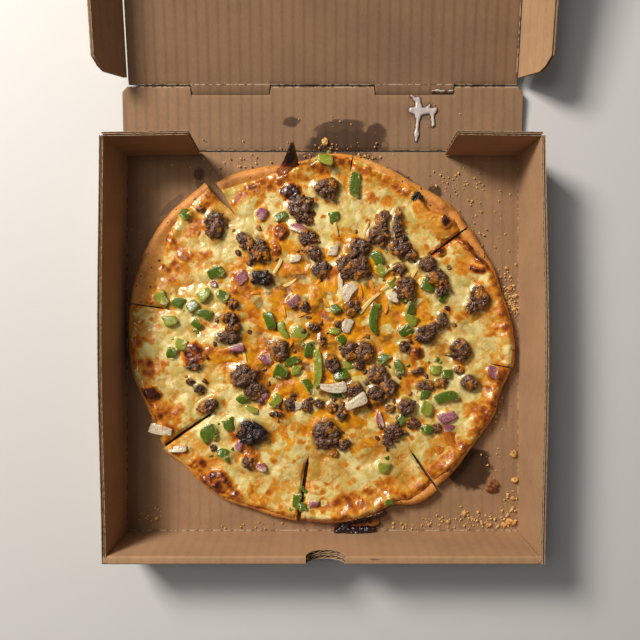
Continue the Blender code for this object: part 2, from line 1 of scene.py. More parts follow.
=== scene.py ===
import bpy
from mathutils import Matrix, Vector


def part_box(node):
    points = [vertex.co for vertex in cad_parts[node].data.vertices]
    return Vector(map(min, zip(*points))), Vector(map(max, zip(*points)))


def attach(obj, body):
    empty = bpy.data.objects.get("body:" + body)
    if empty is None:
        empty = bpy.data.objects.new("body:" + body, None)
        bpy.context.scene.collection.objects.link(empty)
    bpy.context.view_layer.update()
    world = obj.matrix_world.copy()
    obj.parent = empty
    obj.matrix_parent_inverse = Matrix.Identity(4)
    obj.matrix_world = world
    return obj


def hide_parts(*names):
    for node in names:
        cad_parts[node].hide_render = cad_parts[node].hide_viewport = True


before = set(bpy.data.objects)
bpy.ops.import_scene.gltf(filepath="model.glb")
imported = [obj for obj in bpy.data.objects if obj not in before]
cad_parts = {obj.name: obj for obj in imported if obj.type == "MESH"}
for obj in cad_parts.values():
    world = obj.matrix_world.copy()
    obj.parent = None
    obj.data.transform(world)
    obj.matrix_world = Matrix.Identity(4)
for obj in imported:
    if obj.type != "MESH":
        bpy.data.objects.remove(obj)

"""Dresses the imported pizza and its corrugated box.

Every length in the classes is in millimetres in the tray's frame: origin at the centre of the tray's
underside, +X to the right, +Y to the lid, +Z up. Places become metres when a mesh is made.
"""

import itertools
import logging
import math
from collections.abc import Callable, Iterable, Sequence
from dataclasses import dataclass, field
from enum import Enum

import bpy
import numpy as np
from mathutils import Matrix, Vector

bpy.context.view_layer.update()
MM = 0.001
TAU = 2.0 * math.pi
LOG = logging.getLogger("pizza_box")

Array = np.ndarray
Place = Callable[[Array, Array, Array], Array]


class Body(Enum):
    """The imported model's bodies that pieces ride on."""

    TRAY = "tray"
    BACK_PANEL = "back_panel"
    LID = "lid"
    FLAP_LEFT = "lid_flap_left"
    FLAP_RIGHT = "lid_flap_right"
    FLAP_FRONT = "lid_flap_front"


class Slot(Enum):
    """The record's material slots."""

    BOARD = "kraft_board"
    CRUST = "baked_crust"
    CHEESE = "melted_cheese"
    BEEF = "fried_beef"
    PEPPER = "green_pepper"
    ONION = "onion"
    BURNT = "burnt_cheese"


@dataclass(frozen=True)
class Lobe:
    """An oval place on the pizza or the board: centre, length, width and turn in degrees."""

    x: float
    y: float
    length: float
    width: float
    turn: float = 0.0
    strength: float = 1.0


def ovals(*rows: tuple[float, ...]) -> tuple[Lobe, ...]:
    """Ovals from rows of their numbers."""
    return tuple(Lobe(*row) for row in rows)


@dataclass(frozen=True)
class Strip:
    """A cut piece of vegetable: its node, place, size, turn, bend and height."""

    node: str
    x: float
    y: float
    length: float
    width: float
    turn: float
    bend: float
    height: float


@dataclass(frozen=True)
class Slice:
    """A wedge: the angles of its cuts, its radii from cut to cut and the bare rim's widths there."""

    name: str
    start: float
    end: float
    rim: tuple[float, ...]
    bare: tuple[float, ...]


# Noise and curves


def lattice(cell: Array, seed: int) -> Array:
    """Numbers from 0 to 1 that look random, one for each whole-number place.

    Each coordinate is folded into one whole number, which is multiplied by a large odd factor.

    Args:
        cell: whole numbers, one row for each place.
        seed: picks the pattern.

    Returns:
        One number for each row.
    """
    mixed = np.full(len(cell), seed * 7919 + 17, np.uint64)
    for axis in range(cell.shape[1]):
        mixed = (mixed ^ cell[:, axis].astype(np.int64).view(np.uint64)) * np.uint64(0x9E3779B97F4A7C15)
        mixed ^= mixed >> np.uint64(29)
    return (mixed >> np.uint64(40)).astype(float) / 2.0**24


def smooth_noise(points: Array, size: float, seed: int) -> Array:
    """Noise from -1 to 1: lattice numbers blended by a cubic ease between the corners of each cell.

    Args:
        points: places, one row each, in two or three dimensions.
        size: the width of a cell.
        seed: picks the pattern.

    Returns:
        One value for each place.
    """
    scaled = points / size
    base = np.floor(scaled)
    ease = scaled - base
    ease = ease * ease * (3.0 - 2.0 * ease)
    base = base.astype(np.int64)
    total = np.zeros(len(points))
    for corner in itertools.product((0, 1), repeat=points.shape[1]):
        step = np.array(corner)
        weight = np.prod(np.where(step == 1, ease, 1.0 - ease), axis=1)
        total += weight * lattice(base + step, seed)
    return 2.0 * total - 1.0


def fractal(points: Array, size: float, octaves: int, seed: int) -> Array:
    """Noise of several sizes, each half as wide and half as strong as the one before."""
    total = sum(smooth_noise(points, size / 2**i, seed + i) * 0.5**i for i in range(octaves))
    return total / (2.0 - 0.5 ** (octaves - 1))


def granules(points: Array, size: float, seed: int) -> Array:
    """Distance to the nearest of scattered centres, one to each cell, in cell widths.

    Args:
        points: places, one row each.
        size: the width of a cell.
        seed: picks the centres.

    Returns:
        0 at a centre, and about 1 midway between centres.
    """
    scaled = points / size
    base = np.floor(scaled).astype(np.int64)
    nearest = np.full(len(points), 9.0)
    for corner in itertools.product((-1, 0, 1), repeat=points.shape[1]):
        cell = base + np.array(corner)
        offset = np.stack([lattice(cell, seed + axis) for axis in range(points.shape[1])], axis=1)
        nearest = np.minimum(nearest, ((scaled - cell - offset) ** 2).sum(axis=1))
    return np.sqrt(nearest)


def ramp(low: float, high: float, value: Array) -> Array:
    """A smooth step: 0 up to low, 1 from high, and a cubic ease between them."""
    share = np.clip((value - low) / (high - low), 0.0, 1.0)
    return share * share * (3.0 - 2.0 * share)


def through(values: Sequence[float], share: Array) -> Array:
    """The Catmull-Rom curve through equally spaced values.

    Args:
        values: the values, from the first to the last.
        share: how far along, from 0 to 1.

    Returns:
        The curve's value at each share.
    """
    spread = np.asarray(share, float) * (len(values) - 1)
    first = np.clip(np.floor(spread).astype(int), 0, len(values) - 2)
    f = spread - first
    knots = np.array([values[0], *values, values[-1]], float)
    a, b, c, d = (knots[first + i] for i in range(4))
    return 0.5 * (2 * b + (c - a) * f + (2 * a - 5 * b + 4 * c - d) * f**2 + (3 * b - a - 3 * c + d) * f**3)


def oval_distance(points: Array, lobe: Lobe, rough: float = 0.0, seed: int = 0) -> Array:
    """Distance from an oval's centre in its own half-lengths, so that its edge is at 1.

    Args:
        points: places in the plane.
        lobe: the oval.
        rough: how far noise moves the edge.
        seed: picks the noise.

    Returns:
        0 at the centre, 1 on the edge and more outside.
    """
    turn = math.radians(lobe.turn)
    away = points - (lobe.x, lobe.y)
    along = away @ (math.cos(turn), math.sin(turn))
    across = away @ (-math.sin(turn), math.cos(turn))
    distance = np.hypot(along / (lobe.length / 2), across / (lobe.width / 2))
    if rough:
        distance = distance + rough * fractal(points, 7.0, 3, seed)
    return distance


def rounded(share: Array) -> Array:
    """A quarter circle's height: 0 at 0, 1 from 1 on, and steep at first."""
    return np.sqrt(1.0 - (1.0 - np.clip(share, 0.0, 1.0)) ** 2)


def pooled(flat: Array, chains: Sequence[Sequence[tuple[float, float, float]]], soft: float) -> Array:
    """How far inside a pool's edge each place is.

    A chain is a rope through (x, y, radius) knots. A place's depth in a rope is the radius less the
    distance to the rope's line, and ropes merge by the logarithm of the sum of exponentials.

    Args:
        flat: places seen from above.
        chains: the ropes.
        soft: how wide the merging is.

    Returns:
        The depths, below 0 outside.
    """
    total = np.zeros(len(flat))
    for chain in chains:
        for before, after in zip(chain, chain[1:]):
            start, span = np.array(before[:2]), np.array(after[:2]) - before[:2]
            share = np.clip((flat - start) @ span / (span @ span), 0.0, 1.0)
            away = np.linalg.norm(flat - start - share[:, None] * span, axis=1)
            total += np.exp((before[2] + (after[2] - before[2]) * share - away) / soft)
    return soft * np.log(np.maximum(total, 1e-12))


# Meshes


@dataclass
class Patch:
    """Points and faces in millimetres, with a number for each point in every named layer."""

    points: Array
    quads: Array
    rings: list[tuple[list[int], int]] = field(default_factory=list)
    layers: dict[str, Array] = field(default_factory=dict)
    uv: Array | None = None
    paint: Array | None = None


def grid_quads(rows: int, columns: int) -> Array:
    """Faces of a grid whose points are numbered row by row."""
    index = np.arange(rows * columns).reshape(rows, columns)
    return np.stack([index[:-1, :-1], index[:-1, 1:], index[1:, 1:], index[1:, :-1]], axis=-1).reshape(-1, 4)


def border(rows: int, columns: int) -> Array:
    """The point numbers round a grid's edge, in order."""
    index = np.arange(rows * columns).reshape(rows, columns)
    return np.concatenate([index[0, :-1], index[:-1, -1], index[-1, :0:-1], index[:0:-1, 0]])


def shell(front: Array, back: Array) -> Patch:
    """The closed body between two grids of places of the same shape.

    Args:
        front: places, rows x columns x 3, on the side that the normals leave from.
        back: the places behind them.

    Returns:
        The body, its border closed by one band of faces.
    """
    rows, columns = front.shape[:2]
    count = rows * columns
    faces = grid_quads(rows, columns)
    edge = border(rows, columns)
    following = np.roll(edge, -1)
    band = np.stack([following, edge, edge + count, following + count], axis=1)
    points = np.concatenate([front.reshape(-1, 3), back.reshape(-1, 3)])
    paint = np.concatenate([np.zeros(2 * len(faces), int), np.ones(len(band), int)])
    return Patch(points, np.concatenate([faces, faces[:, ::-1] + count, band]), paint=paint)


def filled(top: Array, least: float) -> Array:
    """Whether the grid of heights is over the least one at all four corners of each cell."""
    return np.stack([top[:-1, :-1], top[:-1, 1:], top[1:, :-1], top[1:, 1:]]).min(axis=0) > least


def walled(front: Array, back: Array, keep: Array) -> Patch:
    """The closed body between two grids, of the kept cells only.

    Args:
        front: places, rows x columns x 3, on the side that the normals leave from.
        back: the places behind them.
        keep: whether each cell of the grid belongs to the body.

    Returns:
        The body. A side of a kept cell that no other kept cell shares gets a wall.
    """
    keep = keep.copy()
    for _ in range(2):
        a, b, c, d = keep[:-1, :-1], keep[:-1, 1:], keep[1:, :-1], keep[1:, 1:]
        b |= a & d & ~c
        a |= b & c & ~d
    rows, columns = front.shape[:2]
    count = rows * columns
    faces = grid_quads(rows, columns)[keep.ravel()]
    sides = np.concatenate([faces[:, [i, (i + 1) % 4]] for i in range(4)])
    lone = ~np.isin(sides[:, 0] * count + sides[:, 1], sides[:, 1] * count + sides[:, 0])
    start, end = sides[lone].T
    band = np.stack([end, start, start + count, end + count], axis=1)
    quads = np.concatenate([faces, faces[:, ::-1] + count, band])
    used, renumbered = np.unique(quads, return_inverse=True)
    points = np.concatenate([front.reshape(-1, 3), back.reshape(-1, 3)])[used]
    return facing_out(Patch(points, renumbered.reshape(quads.shape)))


def merged(patches: Iterable[Patch]) -> Patch:
    """One patch that holds all the given ones. A layer that one of them lacks is 0 there."""
    patches = list(patches)
    names = {name for patch in patches for name in patch.layers}
    starts = np.cumsum([0] + [len(patch.points) for patch in patches])
    rings = [
        ([i + start for i in ring], slot)
        for patch, start in zip(patches, starts)
        for ring, slot in patch.rings
    ]
    layers = {
        name: np.concatenate([patch.layers.get(name, np.zeros(len(patch.points))) for patch in patches])
        for name in sorted(names)
    }
    uv = None
    if any(patch.uv is not None for patch in patches):
        uv = np.concatenate([np.zeros((len(p.points), 2)) if p.uv is None else p.uv for p in patches])
    paint = np.concatenate([np.zeros(len(p.quads), int) if p.paint is None else p.paint for p in patches])
    quads = np.concatenate([patch.quads + start for patch, start in zip(patches, starts)])
    return Patch(np.concatenate([patch.points for patch in patches]), quads, rings, layers, uv, paint)


def facing_out(patch: Patch) -> Patch:
    """The closed patch with its faces outward: its signed volume, summed over fans, is positive."""
    points = patch.points - patch.points.mean(axis=0)
    a, b, c, d = (points[patch.quads[:, i]] for i in range(4))
    volume = np.einsum("ij,ij->", a, np.cross(b, c)) + np.einsum("ij,ij->", a, np.cross(c, d))
    for ring, _ in patch.rings:
        fan = points[ring]
        volume += np.einsum("ij,ij->", np.broadcast_to(fan[0], fan[1:-1].shape), np.cross(fan[1:-1], fan[2:]))
    if volume < 0:
        patch.quads = patch.quads[:, ::-1]
        patch.rings = [(ring[::-1], slot) for ring, slot in patch.rings]
    return patch


def make_piece(
    name: str,
    patch: Patch,
    finishes: Sequence[bpy.types.Material],
    body: Body,
    slot: Slot,
    nodes: Sequence[str] = (),
    sharp: float = 50.0,
) -> bpy.types.Object:
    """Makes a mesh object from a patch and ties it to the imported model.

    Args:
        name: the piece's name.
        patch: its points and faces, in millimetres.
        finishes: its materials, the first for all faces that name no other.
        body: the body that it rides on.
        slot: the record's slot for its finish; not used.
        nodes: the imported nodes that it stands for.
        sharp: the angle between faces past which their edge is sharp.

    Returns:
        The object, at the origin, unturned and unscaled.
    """
    mesh = bpy.data.meshes.new(name)
    faces = patch.quads.tolist() + [ring for ring, _ in patch.rings]
    mesh.from_pydata((patch.points * MM).astype(np.float32), [], faces)
    for finish in finishes:
        mesh.materials.append(finish)
    paint = np.zeros(len(faces), np.int32)
    if patch.paint is not None and len(finishes) > 1:
        paint[:len(patch.quads)] = patch.paint
    paint[len(patch.quads):] = [which for _, which in patch.rings]
    mesh.polygons.foreach_set("material_index", paint)
    for layer, values in patch.layers.items():
        mesh.attributes.new(layer, "FLOAT", "POINT").data.foreach_set("value", values.astype(np.float32))
    if patch.uv is not None:
        corners = np.empty(len(mesh.loops), np.int32)
        mesh.loops.foreach_get("vertex_index", corners)
        places = (patch.uv * MM)[corners].astype(np.float32)
        mesh.uv_layers.new(name="board").data.foreach_set("uv", places.ravel())
    mesh.shade_smooth()
    mesh.set_sharp_from_angle(angle=math.radians(sharp))
    mesh.validate()
    piece = bpy.data.objects.new(name, mesh)
    bpy.context.scene.collection.objects.link(piece)
    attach(piece, body.value)
    if nodes:
        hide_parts(*nodes)
    LOG.info("%s: %d faces on %s", name, len(faces), body.value)
    return piece


# Shaders

Colour = tuple[float, float, float]


class Graph:
    """Builds a material's nodes."""

    def __init__(self, name: str) -> None:
        """Starts a material of this name with a Principled shader."""
        self.material = bpy.data.materials.new(name)
        self.material.use_nodes = True
        self.tree = self.material.node_tree
        self.shader = self.tree.nodes["Principled BSDF"]

    def put(self, socket: bpy.types.NodeSocket, value: object) -> None:
        """Links a socket to another, or sets it to a number or colour."""
        if isinstance(value, bpy.types.NodeSocket):
            self.tree.links.new(value, socket)
        elif isinstance(value, tuple) and len(value) == 3 and socket.type == "RGBA":
            socket.default_value = (*value, 1.0)
        else:
            socket.default_value = value

    def node(self, kind: str, values: dict[object, object] | None = None,
             **settings: object) -> bpy.types.Node:
        """Adds a node.

        Args:
            kind: the type's name without its prefix.
            values: what its inputs take, by name or number.
            settings: the node's own settings.

        Returns:
            The node.
        """
        made = self.tree.nodes.new("ShaderNode" + kind)
        for setting, value in settings.items():
            setattr(made, setting, value)
        for key, value in (values or {}).items():
            self.put(made.inputs[key], value)
        return made

    def place(self) -> bpy.types.NodeSocket:
        """Object coordinates, in metres."""
        return self.node("TexCoord").outputs["Object"]

    def layer(self, name: str) -> bpy.types.NodeSocket:
        """A layer of numbers that the mesh carries."""
        return self.node("Attribute", attribute_name=name).outputs["Fac"]

    def math(self, operation: str, first: object, second: object = 0.0, third: object = 0.0,
             clamp: bool = False) -> bpy.types.NodeSocket:
        """One step of arithmetic."""
        values = {0: first, 1: second, 2: third}
        return self.node("Math", values, operation=operation, use_clamp=clamp).outputs[0]

    def noise(self, size: float, detail: float = 3.0, rough: float = 0.5, warp: float = 0.0,
              where: bpy.types.NodeSocket | None = None) -> bpy.types.NodeSocket:
        """Noise from 0 to 1 whose features are about this many millimetres wide."""
        values = {"Vector": where or self.place(), "Scale": 1.0 / (size * MM), "Detail": detail,
                  "Roughness": rough, "Distortion": warp}
        return self.node("TexNoise", values).outputs["Fac"]

    def cells(self, size: float, where: bpy.types.NodeSocket | None = None) -> bpy.types.NodeSocket:
        """Distance to the nearest of scattered centres about this many millimetres apart."""
        values = {"Vector": where or self.place(), "Scale": 1.0 / (size * MM)}
        return self.node("TexVoronoi", values).outputs["Distance"]

    def fit(self, value: bpy.types.NodeSocket, low: float, high: float, start: float = 0.0,
            end: float = 1.0) -> bpy.types.NodeSocket:
        """Maps low to high onto start to end with a smooth ease, and holds it outside."""
        values = {"Value": value, "From Min": low, "From Max": high, "To Min": start, "To Max": end}
        return self.node("MapRange", values, interpolation_type="SMOOTHSTEP").outputs[0]

    def uneven(self, name: str, noise: bpy.types.NodeSocket, amount: float,
               spread: float = 0.2) -> bpy.types.NodeSocket:
        """A layer that noise moves up or down by at most this amount, held from 0 to 1."""
        moved = self.fit(noise, 0.5 - spread, 0.5 + spread, -amount, amount)
        return self.math("ADD", self.layer(name), moved, clamp=True)

    def flecks(self, noise: bpy.types.NodeSocket, low: float, high: float,
               strength: float) -> bpy.types.NodeSocket:
        """Up to this strength where a value passes from low to high."""
        return self.math("MULTIPLY", self.fit(noise, low, high), strength)

    def stops(self, value: object, stops: Sequence[tuple[float, Colour]]) -> bpy.types.NodeSocket:
        """The colour at a value, between those of the two stops beside it."""
        made = self.node("ValToRGB", {0: value})
        elements = made.color_ramp.elements
        for index, (place, colour) in enumerate(stops):
            element = elements[index] if index < 2 else elements.new(place)
            element.position, element.color = place, (*colour, 1.0)
        return made.outputs[0]

    def mix(self, share: object, first: object, second: object, blend: str = "MIX") -> bpy.types.NodeSocket:
        """Mixes two colours."""
        made = self.node("Mix", data_type="RGBA", blend_type=blend)
        self.put(made.inputs["Factor"], share)
        self.put(made.inputs[6], first)
        self.put(made.inputs[7], second)
        return made.outputs[2]

    def scale(self, colour: object, value: bpy.types.NodeSocket) -> bpy.types.NodeSocket:
        """A colour times a number."""
        grey = self.node("CombineColor", {0: value, 1: value, 2: value}).outputs[0]
        return self.mix(1.0, colour, grey, "MULTIPLY")

    def spot(self, lobe: Lobe, rough: float = 0.25, soft: float = 0.12) -> bpy.types.NodeSocket:
        """1 inside an oval seen from above and 0 outside it, with an uneven edge."""
        flat = self.node("VectorMath", {0: self.place(), 1: (1.0, 1.0, 0.0)}, operation="MULTIPLY").outputs[0]
        mapping = self.node("Mapping", {
            "Vector": flat,
            "Location": (lobe.x * MM, lobe.y * MM, 0.0),
            "Rotation": (0.0, 0.0, math.radians(lobe.turn)),
            "Scale": (lobe.length / 2 * MM, lobe.width / 2 * MM, 1.0),
        }, vector_type="TEXTURE").outputs[0]
        distance = self.node("VectorMath", {0: mapping}, operation="LENGTH").outputs["Value"]
        uneven = self.math("MULTIPLY", self.math("SUBTRACT", self.noise(9.0, 4.0, 0.6), 0.5), 4.0 * rough)
        inside = self.fit(self.math("ADD", distance, uneven), 1.0 - soft, 1.0 + soft, 1.0, 0.0)
        return self.math("MULTIPLY", inside, lobe.strength)

    def spots(self, lobes: Iterable[Lobe], rough: float = 0.25, soft: float = 0.12) -> bpy.types.NodeSocket:
        """The strongest of several spots at each place."""
        total: object = 0.0
        for lobe in lobes:
            total = self.math("MAXIMUM", self.spot(lobe, rough, soft), total)
        return total

    def finish(self, colour: object, rough: object, bump: object = None, depth: float = 0.0,
               **fixed: float) -> bpy.types.Material:
        """Fills in the shader.

        Args:
            colour: the base colour.
            rough: the roughness.
            bump: height of the fine relief, if any.
            depth: the relief's depth in millimetres.
            fixed: other sockets, by name with underscores, each a plain number.

        Returns:
            The material.
        """
        self.put(self.shader.inputs["Base Color"], colour)
        self.put(self.shader.inputs["Roughness"], rough)
        for name, value in fixed.items():
            self.shader.inputs[name.replace("_", " ")].default_value = value
        if bump is not None:
            made = self.node("Bump", {"Height": bump, "Distance": depth * MM, "Strength": 1.0})
            self.put(self.shader.inputs["Normal"], made.outputs[0])
        return self.material


@dataclass(frozen=True)
class BoardFinish:
    """Kraft liner: fibres, flute stripes, flecks, grease and dirt."""

    kraft: Colour = (0.315, 0.180, 0.094)
    pitch: float = 8.2
    stripe: float = 0.05
    worn: tuple[tuple[int, float, float], ...] = ()
    grease: tuple[Lobe, ...] = ()
    dirt: tuple[Lobe, ...] = ()
    black: tuple[Lobe, ...] = ()
    dark_fleck: Colour = (0.11, 0.06, 0.03)
    pale_fleck: Colour = (0.46, 0.33, 0.21)
    torn: Colour = (0.45, 0.325, 0.21)
    slit: Colour = (0.08, 0.045, 0.022)
    soil: Colour = (0.055, 0.028, 0.014)
    soaked: Colour = (0.33, 0.27, 0.22)
    spatter: Colour = (0.02, 0.010, 0.008)

    def build(self, name: str) -> bpy.types.Material:
        """Makes the material."""
        g = Graph(name)
        stretch = g.node("Mapping", {"Vector": g.place(), "Scale": (1.0, 0.25, 1.0)}).outputs[0]
        fibres = g.noise(0.9, 4.0, 0.6, where=stretch)
        cloud = g.noise(38.0, 3.0, 0.55)
        shade = g.math("ADD", g.fit(cloud, 0.3, 0.7, 0.92, 1.06), g.fit(fibres, 0.3, 0.7, -0.06, 0.06))
        across = g.node("SeparateXYZ", {0: g.node("UVMap").outputs[0]}).outputs[0]
        wave = g.math("SINE", g.math("MULTIPLY", across, TAU / (self.pitch * MM)))
        flute = g.math("POWER", g.math("MULTIPLY_ADD", wave, 0.5, 0.5), 4.0)
        shade = g.math("SUBTRACT", shade, g.math("MULTIPLY", flute, 2.0 * self.stripe))
        colour = g.scale(self.kraft, shade)
        colour = g.mix(g.flecks(g.noise(0.7, 2.0, 0.5), 0.70, 0.78, 0.35), colour, self.dark_fleck)
        pale = g.noise(0.8, 2.0, 0.5, where=stretch)
        colour = g.mix(g.flecks(pale, 0.70, 0.80, 0.3), colour, self.pale_fleck)
        parts = g.node("SeparateXYZ", {0: g.place()})
        for axis, crease, reach in self.worn:
            away = g.math("ABSOLUTE", g.math("SUBTRACT", parts.outputs[axis], crease * MM))
            near = g.fit(away, 0.4 * reach * MM, reach * MM, 1.0, 0.0)
            dash = g.fit(g.noise(4.0, 4.0, 0.65), 0.45, 0.55)
            colour = g.mix(g.math("MULTIPLY", near, dash), colour, self.torn)
            gap = g.math("MULTIPLY", near, g.fit(dash, 0.0, 0.4, 0.5, 0.0))
            colour = g.mix(gap, colour, self.slit)
        rough: object = 0.86
        if self.dirt:
            colour = g.mix(g.spots(self.dirt, 0.25, 0.18), colour, self.soil)
        if self.grease:
            wet = g.spots(self.grease)
            colour = g.mix(wet, colour, g.mix(1.0, colour, self.soaked, "MULTIPLY"))
            rough = g.fit(wet, 0.0, 1.0, 0.86, 0.5)
        if self.black:
            colour = g.mix(g.spots(self.black, 0.2, 0.25), colour, self.spatter)
        return g.finish(colour, rough, fibres, 0.07, Specular_IOR_Level=0.25)


@dataclass(frozen=True)
class CutFinish:
    """The pale, rough paper at the board's cut edges."""

    paper: Colour = (0.47, 0.335, 0.21)
    hollow: Colour = (0.17, 0.10, 0.055)

    def build(self, name: str) -> bpy.types.Material:
        """Makes the material."""
        g = Graph(name)
        torn = g.noise(2.4, 4.0, 0.65)
        return g.finish(g.mix(g.fit(torn, 0.36, 0.56), self.hollow, self.paper), 0.9, torn, 0.3)


@dataclass(frozen=True)
class CrustFinish:
    """Baked dough: pale where it is thin, golden to brown on the crown, with tiny dark bubbles."""

    pale: Colour = (0.82, 0.44, 0.13)
    golden: Colour = (0.68, 0.27, 0.050)
    brown: Colour = (0.25, 0.066, 0.012)
    char: Colour = (0.030, 0.014, 0.008)

    def build(self, name: str) -> bpy.types.Material:
        """Makes the material."""
        g = Graph(name)
        baked = g.uneven("baked", g.noise(5.0, 4.0, 0.6), 0.14)
        colour = g.mix(g.fit(baked, 0.1, 0.5), self.pale, self.golden)
        colour = g.mix(g.fit(baked, 0.5, 0.95), colour, self.brown)
        colour = g.mix(g.flecks(g.noise(1.1, 2.0, 0.5), 0.69, 0.76, 0.6), colour, self.brown)
        colour = g.mix(g.fit(g.layer("char"), 0.35, 0.7), colour, self.char)
        grain = g.noise(1.0, 4.0, 0.65)
        return g.finish(colour, g.fit(grain, 0.3, 0.7, 0.36, 0.55), grain, 0.35, Specular_IOR_Level=0.4)


@dataclass(frozen=True)
class CrumbFinish:
    """The open, bready face of a cut."""

    crumb: Colour = (0.70, 0.50, 0.26)
    hollow: Colour = (0.36, 0.20, 0.08)

    def build(self, name: str) -> bpy.types.Material:
        """Makes the material."""
        g = Graph(name)
        holes = g.fit(g.cells(1.6), 0.2, 0.55)
        return g.finish(g.mix(holes, self.hollow, self.crumb), 0.85, holes, 0.5)


@dataclass(frozen=True)
class CheeseFinish:
    """Melted cheese: cream, orange where cheddar melted, and toasted from gold to nearly black, with painted
    shade in the hollows of its relief and round the mince.
    """

    cream: Colour = (0.80, 0.66, 0.285)
    green: Colour = (0.62, 0.48, 0.135)
    yellow: Colour = (0.60, 0.285, 0.024)
    cheddar: Colour = (0.74, 0.31, 0.004)
    deep: Colour = (0.50, 0.15, 0.002)
    # Multiplied into the low places of the relief: painted shade, partly pooled fat
    hollow_oil_and_shade: Colour = (0.74, 0.50, 0.22)
    # Laid at random over the middle as grease, and in a ring at the foot of each lump of mince as painted
    # shade
    juice: Colour = (0.13, 0.045, 0.008)
    toast: tuple[tuple[float, Colour], ...] = (
        (0.0, (0.74, 0.44, 0.10)), (0.16, (0.70, 0.29, 0.022)), (0.38, (0.56, 0.18, 0.012)),
        (0.62, (0.36, 0.085, 0.008)), (0.86, (0.14, 0.030, 0.008)), (1.0, (0.03, 0.010, 0.007)))

    def build(self, name: str) -> bpy.types.Material:
        """Makes the material."""
        g = Graph(name)
        colour = g.mix(g.fit(g.noise(13.0, 3.0, 0.5, 1.2), 0.40, 0.62), self.cream, self.green)
        golden = g.uneven("golden", g.noise(6.0, 4.0, 0.6, 1.0), 0.3, 0.15)
        colour = g.mix(g.flecks(golden, 0.15, 0.85, 0.9), colour, self.yellow)
        cheddar = g.uneven("cheddar", g.noise(4.5, 3.0, 0.55, 1.5), 0.22)
        orange = g.mix(g.fit(g.noise(9.0, 3.0, 0.5, 1.0), 0.44, 0.66), self.cheddar, self.deep)
        colour = g.mix(g.fit(cheddar, 0.28, 0.74), colour, orange)
        # Low places in the relief are darkened: painted shade, partly pooled fat
        low = g.fit(g.layer("height"), 0.0, 1.0, 1.0, 0.0)
        colour = g.mix(low, colour, g.mix(1.0, colour, self.hollow_oil_and_shade, "MULTIPLY"))
        # Darkened by a layer that holds grease in the middle and painted shade round the mince
        colour = g.mix(g.layer("juice"), colour, self.juice)
        toasted = g.uneven("browned", g.noise(2.6, 4.0, 0.6, 0.6), 0.08)
        colour = g.mix(g.fit(toasted, 0.06, 0.30), colour, g.stops(toasted, self.toast))
        fine = g.math("MULTIPLY", g.noise(1.8, 2.0, 0.5), 0.35)
        grain = g.math("MULTIPLY_ADD", g.noise(4.2, 2.0, 0.5), 1.8, fine)
        rough = g.fit(g.noise(3.0, 2.0, 0.5), 0.35, 0.65, 0.15, 0.32)
        return g.finish(colour, rough, grain, 0.3, Specular_IOR_Level=0.5)


@dataclass(frozen=True)
class BeefFinish:
    """Fried mince: brown, paler and greyer on the tops of its crumbs as painted light, nearly black in the
    creases as painted shade, cheese at the foot.
    """

    # Painted light: the paler, greyer tone on the tops of the crumbs
    crest: Colour = (0.200, 0.098, 0.050)
    body: Colour = (0.070, 0.030, 0.015)
    # Painted shade: the nearly black tone in the creases between crumbs
    crease: Colour = (0.018, 0.007, 0.004)
    warm: Colour = (0.22, 0.085, 0.03)
    glaze: Colour = (0.40, 0.14, 0.010)
    char: Colour = (0.010, 0.008, 0.009)

    def build(self, name: str) -> bpy.types.Material:
        """Makes the material."""
        g = Graph(name)
        # Mixing by this layer paints shade into the creases and light onto the tops of the crumbs
        crest = g.uneven("crest", g.noise(1.0, 3.0, 0.65), 0.28)
        colour = g.mix(g.fit(crest, 0.12, 0.45), self.crease, self.body)
        colour = g.mix(g.fit(crest, 0.45, 1.0), colour, self.crest)
        colour = g.mix(g.flecks(g.noise(5.0, 2.0, 0.5), 0.48, 0.7, 0.5), colour, self.warm)
        film = g.uneven("film", g.noise(3.0, 3.0, 0.6), 0.4)
        colour = g.mix(g.fit(film, 0.3, 0.8), colour, self.glaze)
        burnt = g.math("MULTIPLY", g.layer("char"), g.fit(g.noise(4.0, 3.0, 0.6), 0.3, 0.55), clamp=True)
        colour = g.mix(burnt, colour, self.char)
        rough = g.fit(g.noise(1.5, 2.0), 0.35, 0.65, 0.16, 0.55)
        return g.finish(colour, rough, g.noise(0.8, 3.0, 0.65), 0.3, Specular_IOR_Level=0.5)


@dataclass(frozen=True)
class PepperFinish:
    """Cooked green pepper: a glossy darker skin over paler flesh, with cut edges paler still."""

    skin: Colour = (0.080, 0.125, 0.005)
    flesh: Colour = (0.27, 0.29, 0.028)
    edge: Colour = (0.46, 0.45, 0.12)
    film: Colour = (0.70, 0.60, 0.26)
    char: Colour = (0.05, 0.035, 0.008)

    def build(self, name: str) -> bpy.types.Material:
        """Makes the material."""
        g = Graph(name)
        streak = g.noise(3.0, 3.0, 0.55, 0.5)
        skin = g.uneven("skin", streak, 0.3)
        colour = g.mix(g.fit(skin, 0.2, 0.8), self.flesh, self.skin)
        colour = g.mix(g.math("MULTIPLY", g.layer("edge"), 0.6), colour, self.edge)
        colour = g.mix(g.flecks(g.noise(2.4, 3.0, 0.6), 0.60, 0.74, 0.45), colour, self.char)
        film = g.uneven("film", g.noise(2.6, 3.0, 0.6, 0.8), 0.45)
        colour = g.mix(g.fit(film, 0.35, 0.75), colour, self.film)
        rough = g.fit(streak, 0.3, 0.7, 0.12, 0.30)
        return g.finish(colour, rough, g.noise(1.4, 3.0, 0.5), 0.3, Specular_IOR_Level=0.6)


